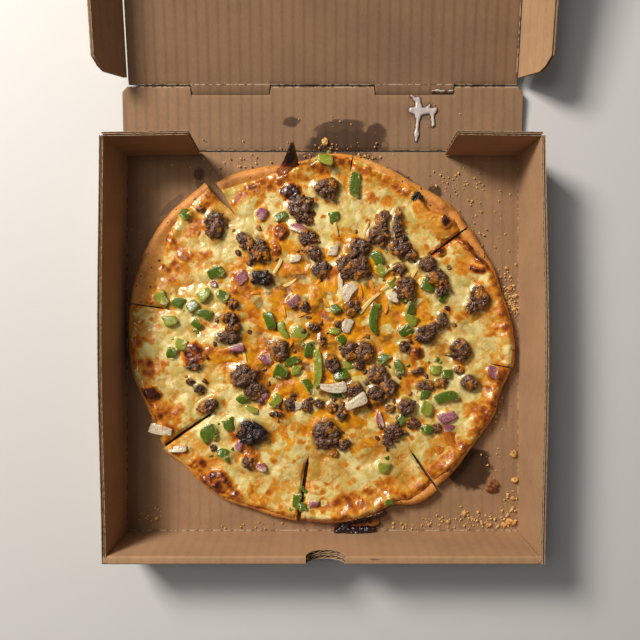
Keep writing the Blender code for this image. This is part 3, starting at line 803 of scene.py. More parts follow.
@dataclass(frozen=True)
class OnionFinish:
    """Cooked onion: cream flesh, purple where the layer's skin shows, lightly toasted."""

    flesh: Colour = (0.74, 0.64, 0.43)
    line: Colour = (0.44, 0.26, 0.20)
    purple: Colour = (0.27, 0.075, 0.115)
    pink: Colour = (0.52, 0.27, 0.25)
    toasted: Colour = (0.50, 0.22, 0.045)

    def build(self, name: str) -> bpy.types.Material:
        """Makes the material."""
        g = Graph(name)
        veins = g.noise(1.8, 3.0, 0.55, 1.0)
        purple = g.uneven("purple", veins, 0.25)
        colour = g.mix(g.fit(purple, 0.08, 0.4), self.flesh, self.pink)
        colour = g.mix(g.fit(purple, 0.4, 0.85), colour, self.purple)
        wave = g.math("SINE", g.math("MULTIPLY", g.layer("across"), TAU / 3.1))
        colour = g.mix(g.flecks(wave, 0.8, 1.0, 0.35), colour, self.line)
        colour = g.mix(g.flecks(g.noise(3.0, 3.0, 0.6), 0.56, 0.74, 0.6), colour, self.toasted)
        relief = g.math("ADD", veins, g.math("MULTIPLY", wave, -0.12))
        return g.finish(colour, 0.16, relief, 0.3, Specular_IOR_Level=0.6)


@dataclass(frozen=True)
class BurntFinish:
    """Cheese that ran and burnt: olive where it is a film, then red-brown, then glossy black."""

    steps: tuple[tuple[float, Colour], ...] = (
        (0.0, (0.15, 0.09, 0.02)), (0.3, (0.33, 0.085, 0.010)), (0.55, (0.10, 0.018, 0.008)),
        (0.8, (0.026, 0.007, 0.008)), (1.0, (0.012, 0.006, 0.007)))

    def build(self, name: str) -> bpy.types.Material:
        """Makes the material."""
        g = Graph(name)
        fine = g.noise(2.0, 3.0, 0.6)
        burnt = g.uneven("burnt", fine, 0.14)
        return g.finish(g.stops(burnt, self.steps), 0.22, fine, 0.3, Specular_IOR_Level=0.6)


@dataclass(frozen=True)
class PlainFinish:
    """Two colours mottled together: shreds of cheese, sauce and dry crumbs."""

    colour: Colour
    second: Colour
    rough: float
    size: float
    depth: float

    def build(self, name: str) -> bpy.types.Material:
        """Makes the material."""
        g = Graph(name)
        mottle = g.noise(self.size, 3.0, 0.6)
        colour = g.mix(g.fit(mottle, 0.35, 0.65), self.colour, self.second)
        return g.finish(colour, self.rough, mottle, self.depth)


# The box


def stations(low: float, high: float, step: float, extra: Sequence[float] = ()) -> Array:
    """Places from low to high about a step apart, with the extra places among them."""
    even = np.linspace(low, high, max(2, round((high - low) / step) + 1))
    inside = [place for place in extra if low < place < high]
    return np.unique(np.round(np.concatenate([even, inside]), 4))


@dataclass(frozen=True)
class Corrugated:
    """Double-faced board: two thin liners, and a wavy sheet between them that shows at cut ends."""

    thickness: float = 3.0
    liner: float = 0.38
    wave_sheet: float = 0.24
    pitch: float = 8.2
    washboard: float = 0.07
    crease_reach: float = 1.6
    crease_squeeze: float = 0.5

    def sheet(self, across: Array, low: Array, high: Array, place: Place, shares: Array,
              creases: tuple[bool, bool] = (False, False)) -> Patch:
        """A board whose flutes run from its low line to its high line.

        The liners sink by a raised cosine between the flutes that carry them, the middle sheet is a
        cosine of the place across, and everything thins towards a crease as a bell curve does.

        Args:
            across: places across the flutes.
            low: where the board starts, for each place across.
            high: where it ends.
            place: gives the point for a place across, along and into the board.
            shares: the rows' places from low to high, from 0 to 1.
            creases: whether its low and its high line are creases.

        Returns:
            The board's three sheets, with the places across and along as its UV map.
        """
        u = np.broadcast_to(across, (len(shares), len(across)))
        v = low + (high - low) * shares[:, None]
        squeeze = np.ones_like(v)
        for is_crease, line in zip(creases, (low, high)):
            if is_crease:
                squeeze -= self.crease_squeeze * np.exp(-(((v - line) / self.crease_reach) ** 2))
        phase = np.cos(TAU * u / self.pitch)
        near = self.washboard * 0.5 * (1.0 - phase)
        far = self.washboard * 0.5 * (1.0 + phase)
        wave = self.thickness / 2 - (self.thickness / 2 - self.liner - self.wave_sheet / 2) * phase
        faces = (
            (near, near + self.liner),
            (wave - self.wave_sheet / 2, wave + self.wave_sheet / 2),
            (self.thickness - self.liner - far, self.thickness - far),
        )
        middle = self.thickness / 2
        patches = []
        for front, back in faces:
            grids = [place(u, v, middle + (depth - middle) * squeeze) for depth in (front, back)]
            patch = shell(*grids)
            patch.uv = np.tile(np.stack([u, v], axis=-1).reshape(-1, 2), (2, 1))
            patches.append(facing_out(patch))
        return merged(patches)


def flat_place(turned: Matrix, side: float = 1.0) -> Place:
    """The place function of a flat board: across is X, along is Y and into the board is -Z."""
    spin = np.array(turned.to_3x3())
    start = np.array(turned.translation)

    def place(u: Array, v: Array, w: Array) -> Array:
        return np.stack([side * u, v, -w], axis=-1) @ spin.T + start

    return place


@dataclass
class Box:
    """The corrugated box: a tray, its back panel, the lid and the lid's flaps."""

    wall_height: float = 51.0
    foot: float = 156.3
    front: float = -153.5
    back: float = 153.5
    ridge_back: float = -147.5
    inner_foot: float = -144.5
    rims: tuple[tuple[float, ...], tuple[float, ...]] = ((158.0, 161.2, 160.0), (158.8, 161.6, 159.2))
    notch: tuple[float, float, float] = (1.9, 14.0, 13.0)
    flap_end: float = 96.0
    panel_length: float = 50.0
    panel_half: float = 156.0
    lid_length: float = 301.5
    lid_half: float = 151.5
    tab: tuple[float, float, float] = (71.6, 31.0, 6.2)
    flap_width: float = 36.0
    flap_fold: float = math.radians(66.0)
    panel_rise: float = math.radians(5.0)
    lid_rise: float = math.radians(12.0)
    board: Corrugated = field(default_factory=Corrugated)
    # Places along a panel, as shares of its length, close together at its two creases
    rows: Array = field(default_factory=lambda: np.array((
        0, 0.003, 0.007, 0.012, 0.02, 0.03, 0.06, 0.2, 0.35, 0.5, 0.65, 0.8, 0.94, 0.97, 0.98, 0.988, 0.993,
        0.997, 1)))

    def finish(self, name: str) -> bpy.types.Material:
        """The board's material for the part of the box of this name: its marks, and a base colour with
        painted light or shade.
        """
        # Painted light and shade: the walls and flaps are lighter, and the lid and back panel darker, than
        # the floor's board, though all are the same board
        kraft = {
            "walls": (0.41, 0.237, 0.126), "flaps": (0.42, 0.245, 0.13), "lid": (0.225, 0.128, 0.070),
            "back_panel": (0.272, 0.158, 0.087),
        }
        grease = {
            "floor": ovals(
                (12, 146, 66, 20, -3, 0.9), (116, -95, 33, 31, 20, 0.95), (28, -140, 40, 8, 0, 0.9),
                (64, 128, 38, 12, -35, 0.7), (88, 121, 10, 12, 0, 0.8), (-96, 129, 8, 8, 0, 0.5),
                (-118, 112, 26, 6, 42, 0.6), (144, -30, 5, 60, 0, 0.5)),
            "back_panel": ovals(
                (19, 158, 62, 26, 0, 0.85), (-24.6, 176, 14, 8, 0, 0.8), (42, 166, 18, 18, 30, 0.8),
                (14, 172, 40, 12, 5, 0.7)),
        }
        dirt = {
            "floor": ovals(
                (115, -96, 32, 30, 20, 0.62), (64, 129, 38, 11, -35, 0.4), (88, 121, 11, 12, 0, 0.45),
                (-97, 136, 9, 10, 0, 0.7)),
            "back_panel": ovals(
                (77, 184, 25, 14, 0, 0.30), (19, 160, 58, 22, 0, 0.5), (14, 172, 38, 11, 5, 0.45),
                (42, 167, 16, 15, 30, 0.45), (-24.6, 176, 13, 7, 0, 0.4)),
        }
        black = {"walls": ovals((14.5, -148.4, 4.6, 1.0, 0, 0.45), (37.6, -149.6, 8, 1.2, -2, 0.5))}
        stripe = {"walls": 0.015, "lid": 0.075, "back_panel": 0.065}.get(name, 0.045)
        worn = {
            "floor": ((0, 153.6, 0.9), (0, -153.6, 0.9), (1, -143.6, 0.8)),
            "back_panel": ((1, 154.6, 0.6), (1, 203.0, 0.7)),
            "lid": ((1, 204.6, 0.6), (0, 150.6, 0.6), (0, -150.6, 0.6)),
        }
        return BoardFinish(
            kraft.get(name, BoardFinish.kraft), self.board.pitch, stripe, worn.get(name, ()),
            grease.get(name, ()), dirt.get(name, ()), black.get(name, ()),
        ).build("kraft_" + name)

    def floor(self) -> Patch:
        """The tray's floor, flutes from front to back."""
        half = self.foot - 0.7
        across = stations(-half, half, self.board.pitch / 8)
        low = np.full(len(across), self.front + 1.0)
        high = np.full(len(across), self.back - 0.2)

        def place(u: Array, v: Array, w: Array) -> Array:
            return np.stack([u, v, self.board.thickness - w], axis=-1)

        return self.board.sheet(across, low, high, place, np.linspace(0, 1, 24), (False, True))

    def side_wall(self, side: int) -> Patch:
        """A side wall that bows outwards at its top, flutes along the wall.

        Its inner face stands on the floor's edge, and at each height it lies on the straight line
        from there to the rim, whose distance from the middle is a curve through three values.
        """
        rim = self.rims[0] if side < 0 else self.rims[1]
        across = stations(0.0, self.wall_height, self.board.pitch / 8)
        low = np.full(len(across), self.front + 0.4)
        high = np.full(len(across), self.back)
        inner_foot = self.foot - self.board.thickness

        def place(u: Array, v: Array, w: Array) -> Array:
            share = (v - self.front) / (self.back - self.front)
            top = through(rim, share) - self.board.thickness
            x = inner_foot + (top - inner_foot) * u / self.wall_height + w
            return np.stack([side * x, v, u], axis=-1)

        return self.board.sheet(across, low, high, place, np.linspace(0, 1, 40))

    def roll_path(self) -> tuple[Array, Array, Array]:
        """The line of the rolled front wall's outer liner, seen from the side.

        Straight runs up the front, over the ridge and down the inside, joined by quarter rounds.

        Returns:
            The lengths along the line, its (y, z) places and its normals into the board.
        """
        corners = np.array([
            (self.front, 0.0), (self.front, self.wall_height), (self.ridge_back, self.wall_height),
            (self.inner_foot, self.board.thickness)])
        radius = 1.6
        places = [corners[0]]
        for before, corner, after in zip(corners, corners[1:], corners[2:]):
            into = (corner - before) / np.linalg.norm(corner - before)
            out = (after - corner) / np.linalg.norm(after - corner)
            start, end = corner - radius * into, corner + radius * out
            for t in np.linspace(0, 1, 7):
                places.append((1 - t) ** 2 * start + 2 * t * (1 - t) * corner + t**2 * end)
        places.append(corners[-1])
        line = np.array(places)
        lengths = np.concatenate([[0], np.cumsum(np.linalg.norm(np.diff(line, axis=0), axis=1))])
        slope = np.gradient(line, lengths, axis=0)
        slope /= np.linalg.norm(slope, axis=1)[:, None]
        return lengths, line, np.stack([slope[:, 1], -slope[:, 0]], axis=1)

    def front_wall(self) -> Patch:
        """The front wall, rolled over its ridge, in four boards round the thumb notch.

        The notch's edge is half an ellipse, so either board ends at the ridge's height less the
        depth times the root of one less the square of the place across.
        """
        lengths, line, inward = self.roll_path()
        centre, half, depth = self.notch
        total = lengths[-1]
        over = self.wall_height + (self.ridge_back - self.front)
        widest = self.foot - 0.3
        inner_half = self.foot - self.board.thickness - 0.2

        def place(u: Array, v: Array, w: Array) -> Array:
            y, z, ny, nz = (np.interp(v, lengths, column) for column in (*line.T, *inward.T))
            return np.stack([u * (1.0 + 0.000163 * z), y + w * ny, z + w * nz], axis=-1)

        shares = np.unique(np.concatenate([lengths / total, np.linspace(0, 1, 24)]))
        steps = (-inner_half, inner_half, -inner_half - 0.01, inner_half + 0.01)
        patches = []
        for low_x, high_x in ((-widest, centre - half), (centre + half, widest)):
            across = stations(low_x, high_x, self.board.pitch / 8, steps)
            high = np.where(np.abs(across) > inner_half + 0.005, over, total)
            patches.append(self.board.sheet(across, np.zeros(len(across)), high, place, shares))
        across = centre + half * np.sin(np.linspace(-math.pi / 2, math.pi / 2, 37))
        drop = depth * np.sqrt(np.clip(1.0 - ((across - centre) / half) ** 2, 0.0, 1.0))
        drop = np.maximum(drop, 1.7)
        even = np.linspace(0, 1, 12)
        patches.append(self.board.sheet(across, np.zeros(len(across)), self.wall_height - drop, place, even))
        patches.append(self.board.sheet(across, over + drop - 1.5, np.full(len(across), total), place, even))
        return merged(patches)

    def corner_flap(self, side: int) -> Patch:
        """A flap that turns in from a side wall along the back edge, leaning outwards."""
        rim = (self.rims[0] if side < 0 else self.rims[1])[2]
        height = self.wall_height - 3.8
        across = stations(0.0, height, self.board.pitch / 8)
        low = np.zeros(len(across))
        high = np.full(len(across), 1.0)

        def place(u: Array, v: Array, w: Array) -> Array:
            rise = u / height
            x_corner = self.foot - 1.6 + rise * (rim - self.foot)
            x = x_corner + (self.flap_end - x_corner) * v
            y_corner = 152.9 + 3.0 * rise
            y = y_corner + (0.5 + 0.5 * rise) * v - self.board.thickness + w
            return np.stack([side * x, y, 3.6 + u], axis=-1)

        return self.board.sheet(across, low, high, place, np.linspace(0, 1, 16))

    def panel_turn(self) -> Matrix:
        """The back panel's own frame at rest."""
        crease = Matrix.Translation((0.0, self.back + 0.5, self.board.thickness))
        return crease @ Matrix.Rotation(self.panel_rise, 4, "X")

    def lid_turn(self) -> Matrix:
        """The lid's own frame at rest."""
        crease = self.panel_turn() @ Vector((0.0, self.panel_length, 0.0))
        return Matrix.Translation(crease) @ Matrix.Rotation(self.lid_rise, 4, "X")

    def tab_steps(self, gap: float) -> tuple[list[float], list[float]]:
        """Places across and their shares of a tab's reach, for the two tabs on the lid's crease."""
        centre, half, _ = self.tab
        places: list[float] = []
        shares: list[float] = []
        for middle in (-centre, centre):
            low, high = middle - half - gap, middle + half + gap
            places += [low, low + 1.0, high - 1.0, high]
            shares += [0.0, 1.0, 1.0, 0.0]
        return places, shares

    def back_panel(self) -> Patch:
        """The back panel, with two notches in its far edge that the lid's tabs fill."""
        places, shares = self.tab_steps(0.5)
        corner = self.panel_half - 4.0
        across = stations(-self.panel_half, self.panel_half, self.board.pitch / 8, (*places, -corner, corner))
        top = self.panel_length - 0.5
        high = top - self.tab[2] * np.interp(across, places, shares)
        high -= 4.0 * np.clip((np.abs(across) - corner) / 4.0, 0.0, 1.0)
        low = np.full(len(across), 0.5)
        return self.board.sheet(across, low, high, flat_place(self.panel_turn()), self.rows, (True, True))

    def lid_panel(self) -> Patch:
        """The lid, with two tabs past its crease."""
        places, shares = self.tab_steps(0.0)
        half = self.lid_half - 0.5
        across = stations(-half, half, self.board.pitch / 8, places)
        low = 0.5 - (self.tab[2] + 0.5) * np.interp(across, places, shares)
        high = np.full(len(across), self.lid_length - 0.5)
        return self.board.sheet(across, low, high, flat_place(self.lid_turn()), self.rows, (True, True))

    def side_flap(self, side: int) -> Patch:
        """A flap along the lid's side, flutes along it and its ends cut back."""
        across = stations(0.5, self.flap_width, self.board.pitch / 8, (24.0, 30.0))
        low = np.interp(across, (0.5, 24.0, 30.0, self.flap_width), (5.8, 7.2, 10.5, 17.0))
        crease = self.lid_turn() @ Matrix.Translation((side * self.lid_half, 0.0, 0.0))
        turned = crease @ Matrix.Rotation(-side * self.flap_fold, 4, "Y")
        place = flat_place(turned, side)
        return self.board.sheet(across, low, self.lid_length - low, place, np.linspace(0, 1, 14))

    def front_flap(self) -> Patch:
        """The flap along the lid's front edge, its flutes square to the crease."""
        across = stations(-145.9, 145.9, self.board.pitch / 8, (-144.6, -141.3, -134.8, 134.8, 141.3, 144.6))
        high = np.interp(np.abs(across), (134.8, 141.3, 144.6, 146.0), (self.flap_width, 30.0, 24.0, 0.9))
        crease = self.lid_turn() @ Matrix.Translation((0.0, self.lid_length, 0.0))
        turned = crease @ Matrix.Rotation(self.flap_fold, 4, "X")
        low = np.full(len(across), 0.5)
        return self.board.sheet(across, low, high, flat_place(turned), np.linspace(0, 1, 14))

    def build(self) -> None:
        """Makes every board of the box."""
        walls, lid, cut = self.finish("walls"), self.finish("lid"), CutFinish().build("cut_paper")
        tray, panel, flaps = self.finish("floor"), self.finish("back_panel"), self.finish("flaps")
        for name, patch, finish, body, nodes in (
            ("tray_floor", self.floor(), tray, Body.TRAY, ("box_tray",)),
            ("tray_wall_left", self.side_wall(-1), walls, Body.TRAY, ()),
            ("tray_wall_right", self.side_wall(1), walls, Body.TRAY, ()),
            ("tray_front_roll", self.front_wall(), walls, Body.TRAY, ()),
            ("tray_corner_flap_left", self.corner_flap(-1), walls, Body.TRAY, ()),
            ("tray_corner_flap_right", self.corner_flap(1), walls, Body.TRAY, ()),
            ("panel_back", self.back_panel(), panel, Body.BACK_PANEL, ("back_panel",)),
            ("panel_lid", self.lid_panel(), lid, Body.LID, ("lid_panel",)),
            ("flap_left", self.side_flap(-1), flaps, Body.FLAP_LEFT, ("lid_flap_left",)),
            ("flap_right", self.side_flap(1), flaps, Body.FLAP_RIGHT, ("lid_flap_right",)),
            ("flap_front", self.front_flap(), flaps, Body.FLAP_FRONT, ("lid_flap_front",)),
        ):
            make_piece(name, patch, [finish, cut], body, Slot.BOARD, nodes)


# The pizza

SLICES = (
    Slice("east", -9.4, 36.5, (151, 150, 147, 144, 144, 142, 142.5), (3, 3, 3, 2.5, 4, 8, 11)),
    Slice("north_east", 37.0, 80.1, (141.5, 143.5, 141, 139, 140, 141, 143), (6, 10, 12, 5, 7, 7, 3)),
    Slice("north", 80.5, 124.8, (143, 142, 137.5, 137, 139.5, 143, 145), (3, 3, 3, 6, 9, 11, 8)),
    Slice("north_west", 127.4, 170.2, (150, 150.5, 152, 153, 152.5, 152, 151.5), (6, 8, 9, 12, 16, 16, 12)),
    Slice("west", 170.6, 214.5, (151.5, 150.5, 150, 150, 147.5, 148, 150), (5, 4, 3, 3, 4, 4, 3)),
    Slice("south_west", 215.3, 262.1, (152, 147.5, 148, 148.5, 145.5, 145, 145.5), (3, 4, 3, 4, 4, 5, 3)),
    Slice("south", 263.3, 306.7, (144, 145.5, 146, 145.5, 142.5, 150, 150.5), (3, 3, 3, 3, 4, 8, 9)),
    Slice("south_east", 307.4, 350.2, (148, 147.5, 145.5, 146, 147.5, 145.5, 149.5), (8, 5, 3, 3, 3, 3, 4)),
)

# Browned cheese and crust, with how dark each patch is
BROWNED = ovals(
    (-24, 120, 17, 15, 0, 1.0), (-33, 128, 26, 12, 25, 0.6), (-52, 124, 30, 9, 28, 0.7),
    (-10, 139, 22, 9, 8, 0.6), (-32, 90, 12, 14, 0, 0.85), (-36, 76, 8, 10, 0, 0.9),
    (-66, 113, 12, 8, 35, 0.55), (-92, 108, 22, 7, 42, 0.6), (-105, 70, 17, 10, 0, 0.6),
    (-98, 90, 16, 9, 22, 0.5), (-114, 81, 11, 6, 6, 0.6), (-86, 87, 13, 5, 126, 0.45),
    (-92, 70, 10, 4, 33, 0.5), (-63, 49, 30, 16, 102, 0.55), (-116, 52, 9, 8, 30, 0.5),
    (93.6, 97.5, 12, 14, 0, 1.0), (84, 99, 14, 9, 30, 0.7), (74, 106, 13, 7, -20, 0.55),
    (90, 74, 11, 8, 0, 0.85), (116, 74, 34, 9, -45, 0.9), (119, 61, 11, 5, -10, 0.85),
    (107, 60, 13, 7, -20, 0.45), (50, 128, 22, 9, -20, 0.5), (60, 122, 14, 9, -30, 0.7),
    (37, 116, 9, 12, 10, 0.45), (141, 24, 12, 30, 5, 0.65), (131, 50, 10, 12, 0, 0.5),
    (105, 22, 10, 9, 0, 0.5), (127, -41, 14, 10, 5, 0.6), (137, -17, 10, 7, 70, 0.7),
    (105, -14, 9, 6, 110, 0.5), (73, -4, 11, 11, 0, 0.95), (66, -26, 16, 8, 77, 0.45),
    (87, -97, 60, 14, 44, 0.5), (46, -62, 22, 8, 107, 0.45), (22, -119, 30, 15, 5, 0.6),
    (36, -111, 12, 9, 20, 0.5), (60, -112, 12, 8, 0, 0.45), (-10, -108, 9, 7, 0, 0.4),
    (-52, -124, 25, 7, -15, 0.75), (-35, -129, 12, 5, -30, 0.6), (-82, -103, 23, 18, 0, 0.85),
    (-95, -90, 12, 15, 0, 0.75), (-68, -112, 20, 9, -35, 0.8), (-55, -82, 18, 12, 137, 0.6),
    (-67, -69, 9, 5, 140, 0.6), (-113, -78, 14, 7, -30, 0.6), (-99.7, -5.6, 18, 20, 0, 0.9),
    (-86, -3, 20, 9, -10, 0.55), (-132, -36, 16, 12, 0, 0.95), (-127, -50, 11, 8, 0, 0.75),
    (-118, -62, 15, 8, -35, 0.65), (-134, -16, 8, 20, 5, 0.7), (-124, -13, 9, 6, 60, 0.5),
    (-141, 8, 6, 20, 0, 0.55), (-66, -2, 24, 9, 16, 0.6), (-43, -4, 16, 8, 30, 0.55),
    (-52, -20, 14, 6, 128, 0.5), (8, 57, 14, 8, 58, 0.5), (66, 46, 14, 10, 13, 0.6),
    (-5, 42, 13, 7, 80, 0.45), (-27, 34, 9, 5, 135, 0.5), (-60, 83, 11, 6, 148, 0.5),
    (70, -8, 6, 14, 0, 0.5), (-32, -51, 9, 5, 40, 0.5), (-112, -50, 12, 9, 40, 0.55),
    (-20, 60, 9, 6, 0, 0.5), (56, 24, 7, 9, 0, 0.4), (-47, -44, 7, 5, 40, 0.45),
)

# A puff of bare dough beside the north-east cut
PUFF = Lobe(87, 101, 44, 26, -44)

# Where orange cheese melted through
CHEDDAR = ovals(
    (-28, 70, 60, 24, 127), (-81, -17, 40, 26, 102, 0.7), (-32, -74, 34, 20, 67, 0.8),
    (50, 22, 32, 18, 97), (32, -79, 24, 15, 58, 0.75), (14, -110, 26, 12, 41, 0.55),
    (-52, -104, 28, 14, 91, 0.6), (-33, 31, 32, 16, 122), (-91, 66, 22, 14, 55, 0.55),
    (-52, -2, 24, 16, 97, 0.9), (5, 42, 20, 18, 59), (44, 3, 34, 13, 148), (-62, 64, 18, 16, 76, 0.8),
    (-5, -84, 18, 12, 156, 0.6), (62, -87, 20, 10, 46, 0.6), (130, -2, 20, 12, 153, 0.45),
    (79, 34, 19, 12, 27, 0.8), (-75, 49, 18, 11, 133, 0.8), (79, -92, 20, 10, 45, 0.45),
    (86, -51, 18, 8, 69, 0.6), (4, 1, 18, 14, 52), (-56, 45, 18, 9, 170, 0.9), (85, 25, 11, 8, 71),
    (34, 26, 12, 10, 15), (66, -11, 12, 7, -20), (-24, -24, 12, 9, 30, 0.8), (-10, 20, 26, 15, 20, 0.9),
    (22, 12, 18, 22, 0, 0.9), (60, 50, 20, 14, 40, 0.7), (95, 66, 12, 8, -40, 0.5),
    (-40, 12, 20, 14, 0, 0.7), (30, -12, 18, 12, 0, 0.7), (-15, -38, 16, 10, 0, 0.6),
    (10, 90, 8, 20, -20, 0.7), (16, 112, 7, 14, -20, 0.7), (47, 42, 16, 10, 0, 0.7),
    (-70, 30, 24, 9, 20, 0.5), (40, -50, 20, 9, 50, 0.6), (100, 20, 12, 10, 0, 0.5),
    (-66, -62, 10, 22, 10, 0.5),
)

# Broad areas of pale, stretchy cheese
PALE = ovals(
    (8, 108, 46, 44, 0, 0.9), (40, 100, 26, 40, -10, 0.8), (78, 86, 26, 20, -30, 0.9),
    (98, 40, 30, 40, 0, 0.8), (110, 10, 30, 30, 0, 0.6), (-90, 88, 18, 30, -40, 0.6),
    (-120, -20, 30, 40, 0, 0.6), (-60, -50, 40, 26, 0, 0.7), (-20, -96, 40, 40, 0, 0.7),
    (30, -100, 50, 30, 0, 0.8), (-92, -60, 30, 20, 30, 0.8), (70, -75, 36, 26, 40, 0.5),
    (10, 66, 12, 30, -20, 0.7), (-75, 80, 24, 16, -40, 0.6), (100, -60, 26, 26, 0, 0.6),
    (-110, 20, 40, 14, 0, 0.5), (-14, -50, 20, 12, 0, 0.7), (65, -40, 20, 16, 0, 0.5),
)


@dataclass
class PizzaShape:
    """The wedges' shared shape: outlines, the crust's profile and the cheese over it."""

    floor_top: float = 3.3
    flat_top: float = 8.5
    rim_profile: tuple[tuple[float, float], ...] = (
        (0.0, 7.2), (0.7, 9.4), (1.8, 11.1), (3.4, 12.2), (5.0, 12.5), (7.5, 12.0), (10.0, 10.8), (14.0, 9.5),
        (18.0, 8.5))
    centre: tuple[float, float] = (-0.5, 9.1)
    crossing: tuple[float, float] = (4.0, 11.0)
    gap: float = 0.3
    thickness: float = 2.8
    toppings: list[Lobe] = field(default_factory=list)
    open_cuts: tuple[tuple[tuple[float, float], ...], ...] = (
        ((92, 180),), ((126, 180),), ((113, 180),), ((122, 180),), ((106, 180),), ((96, 180),), ((110, 180),),
        ((90, 100), (127, 180)))

    def outline(self, piece: Slice, share: Array) -> tuple[Array, Array, Array, Array]:
        """A wedge's rim and tip.

        Args:
            piece: the wedge.
            share: places from its first cut to its last, from 0 to 1.

        Returns:
            The rim's points, the unit ways from them to the tip, the lengths of those ways and the
            widths of bare rim.
        """
        middle = math.radians((piece.start + piece.end) / 2)
        tip = np.array(self.crossing) + 1.4 * np.array((math.cos(middle), math.sin(middle)))
        turn = np.radians(piece.start + share * (piece.end - piece.start))
        return self.spokes(piece, share, turn, tip)

    def spokes(self, piece: Slice, share: Array, turn: Array,
               tip: Array) -> tuple[Array, Array, Array, Array]:
        """Lines from a wedge's rim to a tip: rim points, ways, lengths and widths of bare rim."""
        way = np.stack([np.cos(turn), np.sin(turn)], axis=1)
        rough = 0.7 * fractal(way * 150.0, 9.0, 3, 5)
        rim = np.array(self.centre) + (through(piece.rim, share) + rough)[:, None] * way
        into = tip - rim
        length = np.linalg.norm(into, axis=1)
        bare = through(piece.bare, share) + 1.8 * fractal(way * 150.0, 7.0, 3, 9)
        return rim, into / length[:, None], length, np.maximum(bare, 1.2)

    def crust_top(self, distance: Array, points: Array) -> Array:
        """Height of the crust at a distance inside its edge, with low bubbles near the rim."""
        xs, zs = zip(*self.rim_profile)
        near_rim = ramp(1.0, 4.0, distance) * (1.0 - ramp(10.0, 20.0, distance))
        return np.interp(distance, xs, zs) + 1.1 * fractal(points, 13.0, 3, 21) * near_rim

    def crust(self, piece: Slice, columns: int = 120) -> Patch:
        """A wedge's crust: its rim follows the profile, and the rest is flat under the cheese."""
        share = np.linspace(0.0, 1.0, columns)
        rim, way, _, _ = self.outline(piece, share)
        distances = np.array([0, .35, .8, 1.4, 2, 2.8, 3.8, 5, 6.2, 7.5, 9, 10.5, 12, 14, 16, 18, 20, 22])
        rows = []
        for inset, rise in ((2.6, 0.0), (1.2, 0.5), (0.35, 1.7), (0.02, 2.9)):
            rows.append(np.column_stack([rim + way * inset, np.full(columns, self.floor_top + rise)]))
        for distance in distances:
            flat = rim + way * distance
            rows.append(np.column_stack([flat, self.crust_top(np.full(columns, distance), flat)]))
        grid = np.array(rows)
        count = len(rows)
        middle = math.radians((piece.start + piece.end) / 2)
        tip = np.array(self.crossing) + 1.4 * np.array((math.cos(middle), math.sin(middle)))
        points = np.concatenate([grid.reshape(-1, 3), [(*tip, self.flat_top), (*tip, self.floor_top)]])
        index = np.arange(count * columns).reshape(count, columns)
        top, bottom = count * columns, count * columns + 1
        rings = [
            ([*index[-1].tolist(), top], 0),
            ([*index[0, ::-1].tolist(), bottom], 0),
            ([*index[::-1, 0].tolist(), bottom, top], 1),
            ([*index[:, -1].tolist(), top, bottom], 1),
        ]
        flat = points[:, :2]
        down = np.concatenate([np.repeat([1.5, 1.2, 1.0, 0.7], columns), np.zeros(len(points) - 4 * columns)])
        height = ramp(9.0, 12.8, points[:, 2])
        baked = 0.42 + 0.16 * height + 0.30 * fractal(flat, 18.0, 3, 33) + 0.40 * down
        baked = np.maximum(baked, 0.9 * self.painted(flat, BROWNED, 60))
        spots = granules(flat, 9.0, 77)
        char = ramp(0.12, 0.07, spots) * ramp(0.35, 0.5, lattice(np.floor(flat / 9.0).astype(np.int64), 4))
        return facing_out(Patch(points, grid_quads(count, columns), rings, {"baked": baked, "char": char}))

    def painted(self, flat: Array, lobes: Sequence[Lobe], seed: int, soft: float = 2.8,
                rough: float = 2.6) -> Array:
        """The strongest of several ovals at each place.

        An oval's value rises with a smooth step from a little outside its edge to well inside it,
        over millimetres, and noise moves the edge in and out.
        """
        total = np.zeros(len(flat))
        warp = rough * fractal(flat, 6.5, 3, seed)
        for lobe in lobes:
            reach = min(lobe.length, lobe.width) / 2
            edge = (oval_distance(flat, lobe) - 1.0) * reach + warp
            total = np.maximum(total, lobe.strength * ramp(soft, -min(soft, reach * 0.9), edge))
        return total

    def relief(self, flat: Array) -> Array:
        """The cheese's uneven top: swells, rounded lumps, blisters and banks round the toppings.

        Lumps are high at scattered centres and low between them, a blister is half an ellipsoid on
        each dark patch, browned patches rise in round blobs, and cheese banks up round each topping.
        """
        bent = self.bent(flat)
        swell = 1.3 * fractal(flat, 19.0, 2, 41)
        lumps = 1.7 * (0.5 - granules(bent, 12.5, 45) ** 2) + 0.3 * (0.5 - granules(bent, 5.0, 49) ** 2)
        blobs = 0.9 * self.painted(flat, BROWNED, 60) * self.blobs(flat)
        puff = np.clip(1.0 - oval_distance(flat, PUFF, 0.08, 15) ** 2, 0.0, 1.0)
        dome = 6.5 * np.sqrt(puff)
        lumps = lumps * (1.0 - 0.85 * ramp(0.0, 0.3, puff))
        for lobe in BROWNED:
            if lobe.strength >= 0.85:
                inside = np.clip(1.0 - oval_distance(flat, lobe, 0.15, 5) ** 2, 0.0, 1.0)
                dome = np.maximum(dome, 2.4 * np.sqrt(inside) + 6.5 * np.sqrt(puff) * (inside > 0.0))
        bank = np.zeros(len(flat))
        for lobe in self.toppings:
            distance = oval_distance(flat, lobe)
            bank = np.maximum(bank, min(1.9, lobe.width * 0.2) * ramp(1.6, 0.85, distance))
        return np.maximum(swell + lumps, -1.7) + blobs + np.maximum(dome, bank) - 0.5

    def bent(self, flat: Array) -> Array:
        """Places moved a few millimetres by noise, so that cells drawn there look run and uneven."""
        return flat + 2.4 * np.stack([fractal(flat, 8.0, 3, 3), fractal(flat, 8.0, 3, 13)], axis=1)

    def blobs(self, flat: Array) -> Array:
        """Round blobs that cheese browns in, from 0 between them to 1 at their middles."""
        bent = self.bent(flat)
        large = ramp(0.72, 0.15, granules(bent, 6.8, 51))
        return np.maximum(large, 0.7 * ramp(0.6, 0.15, granules(bent, 3.6, 55)))

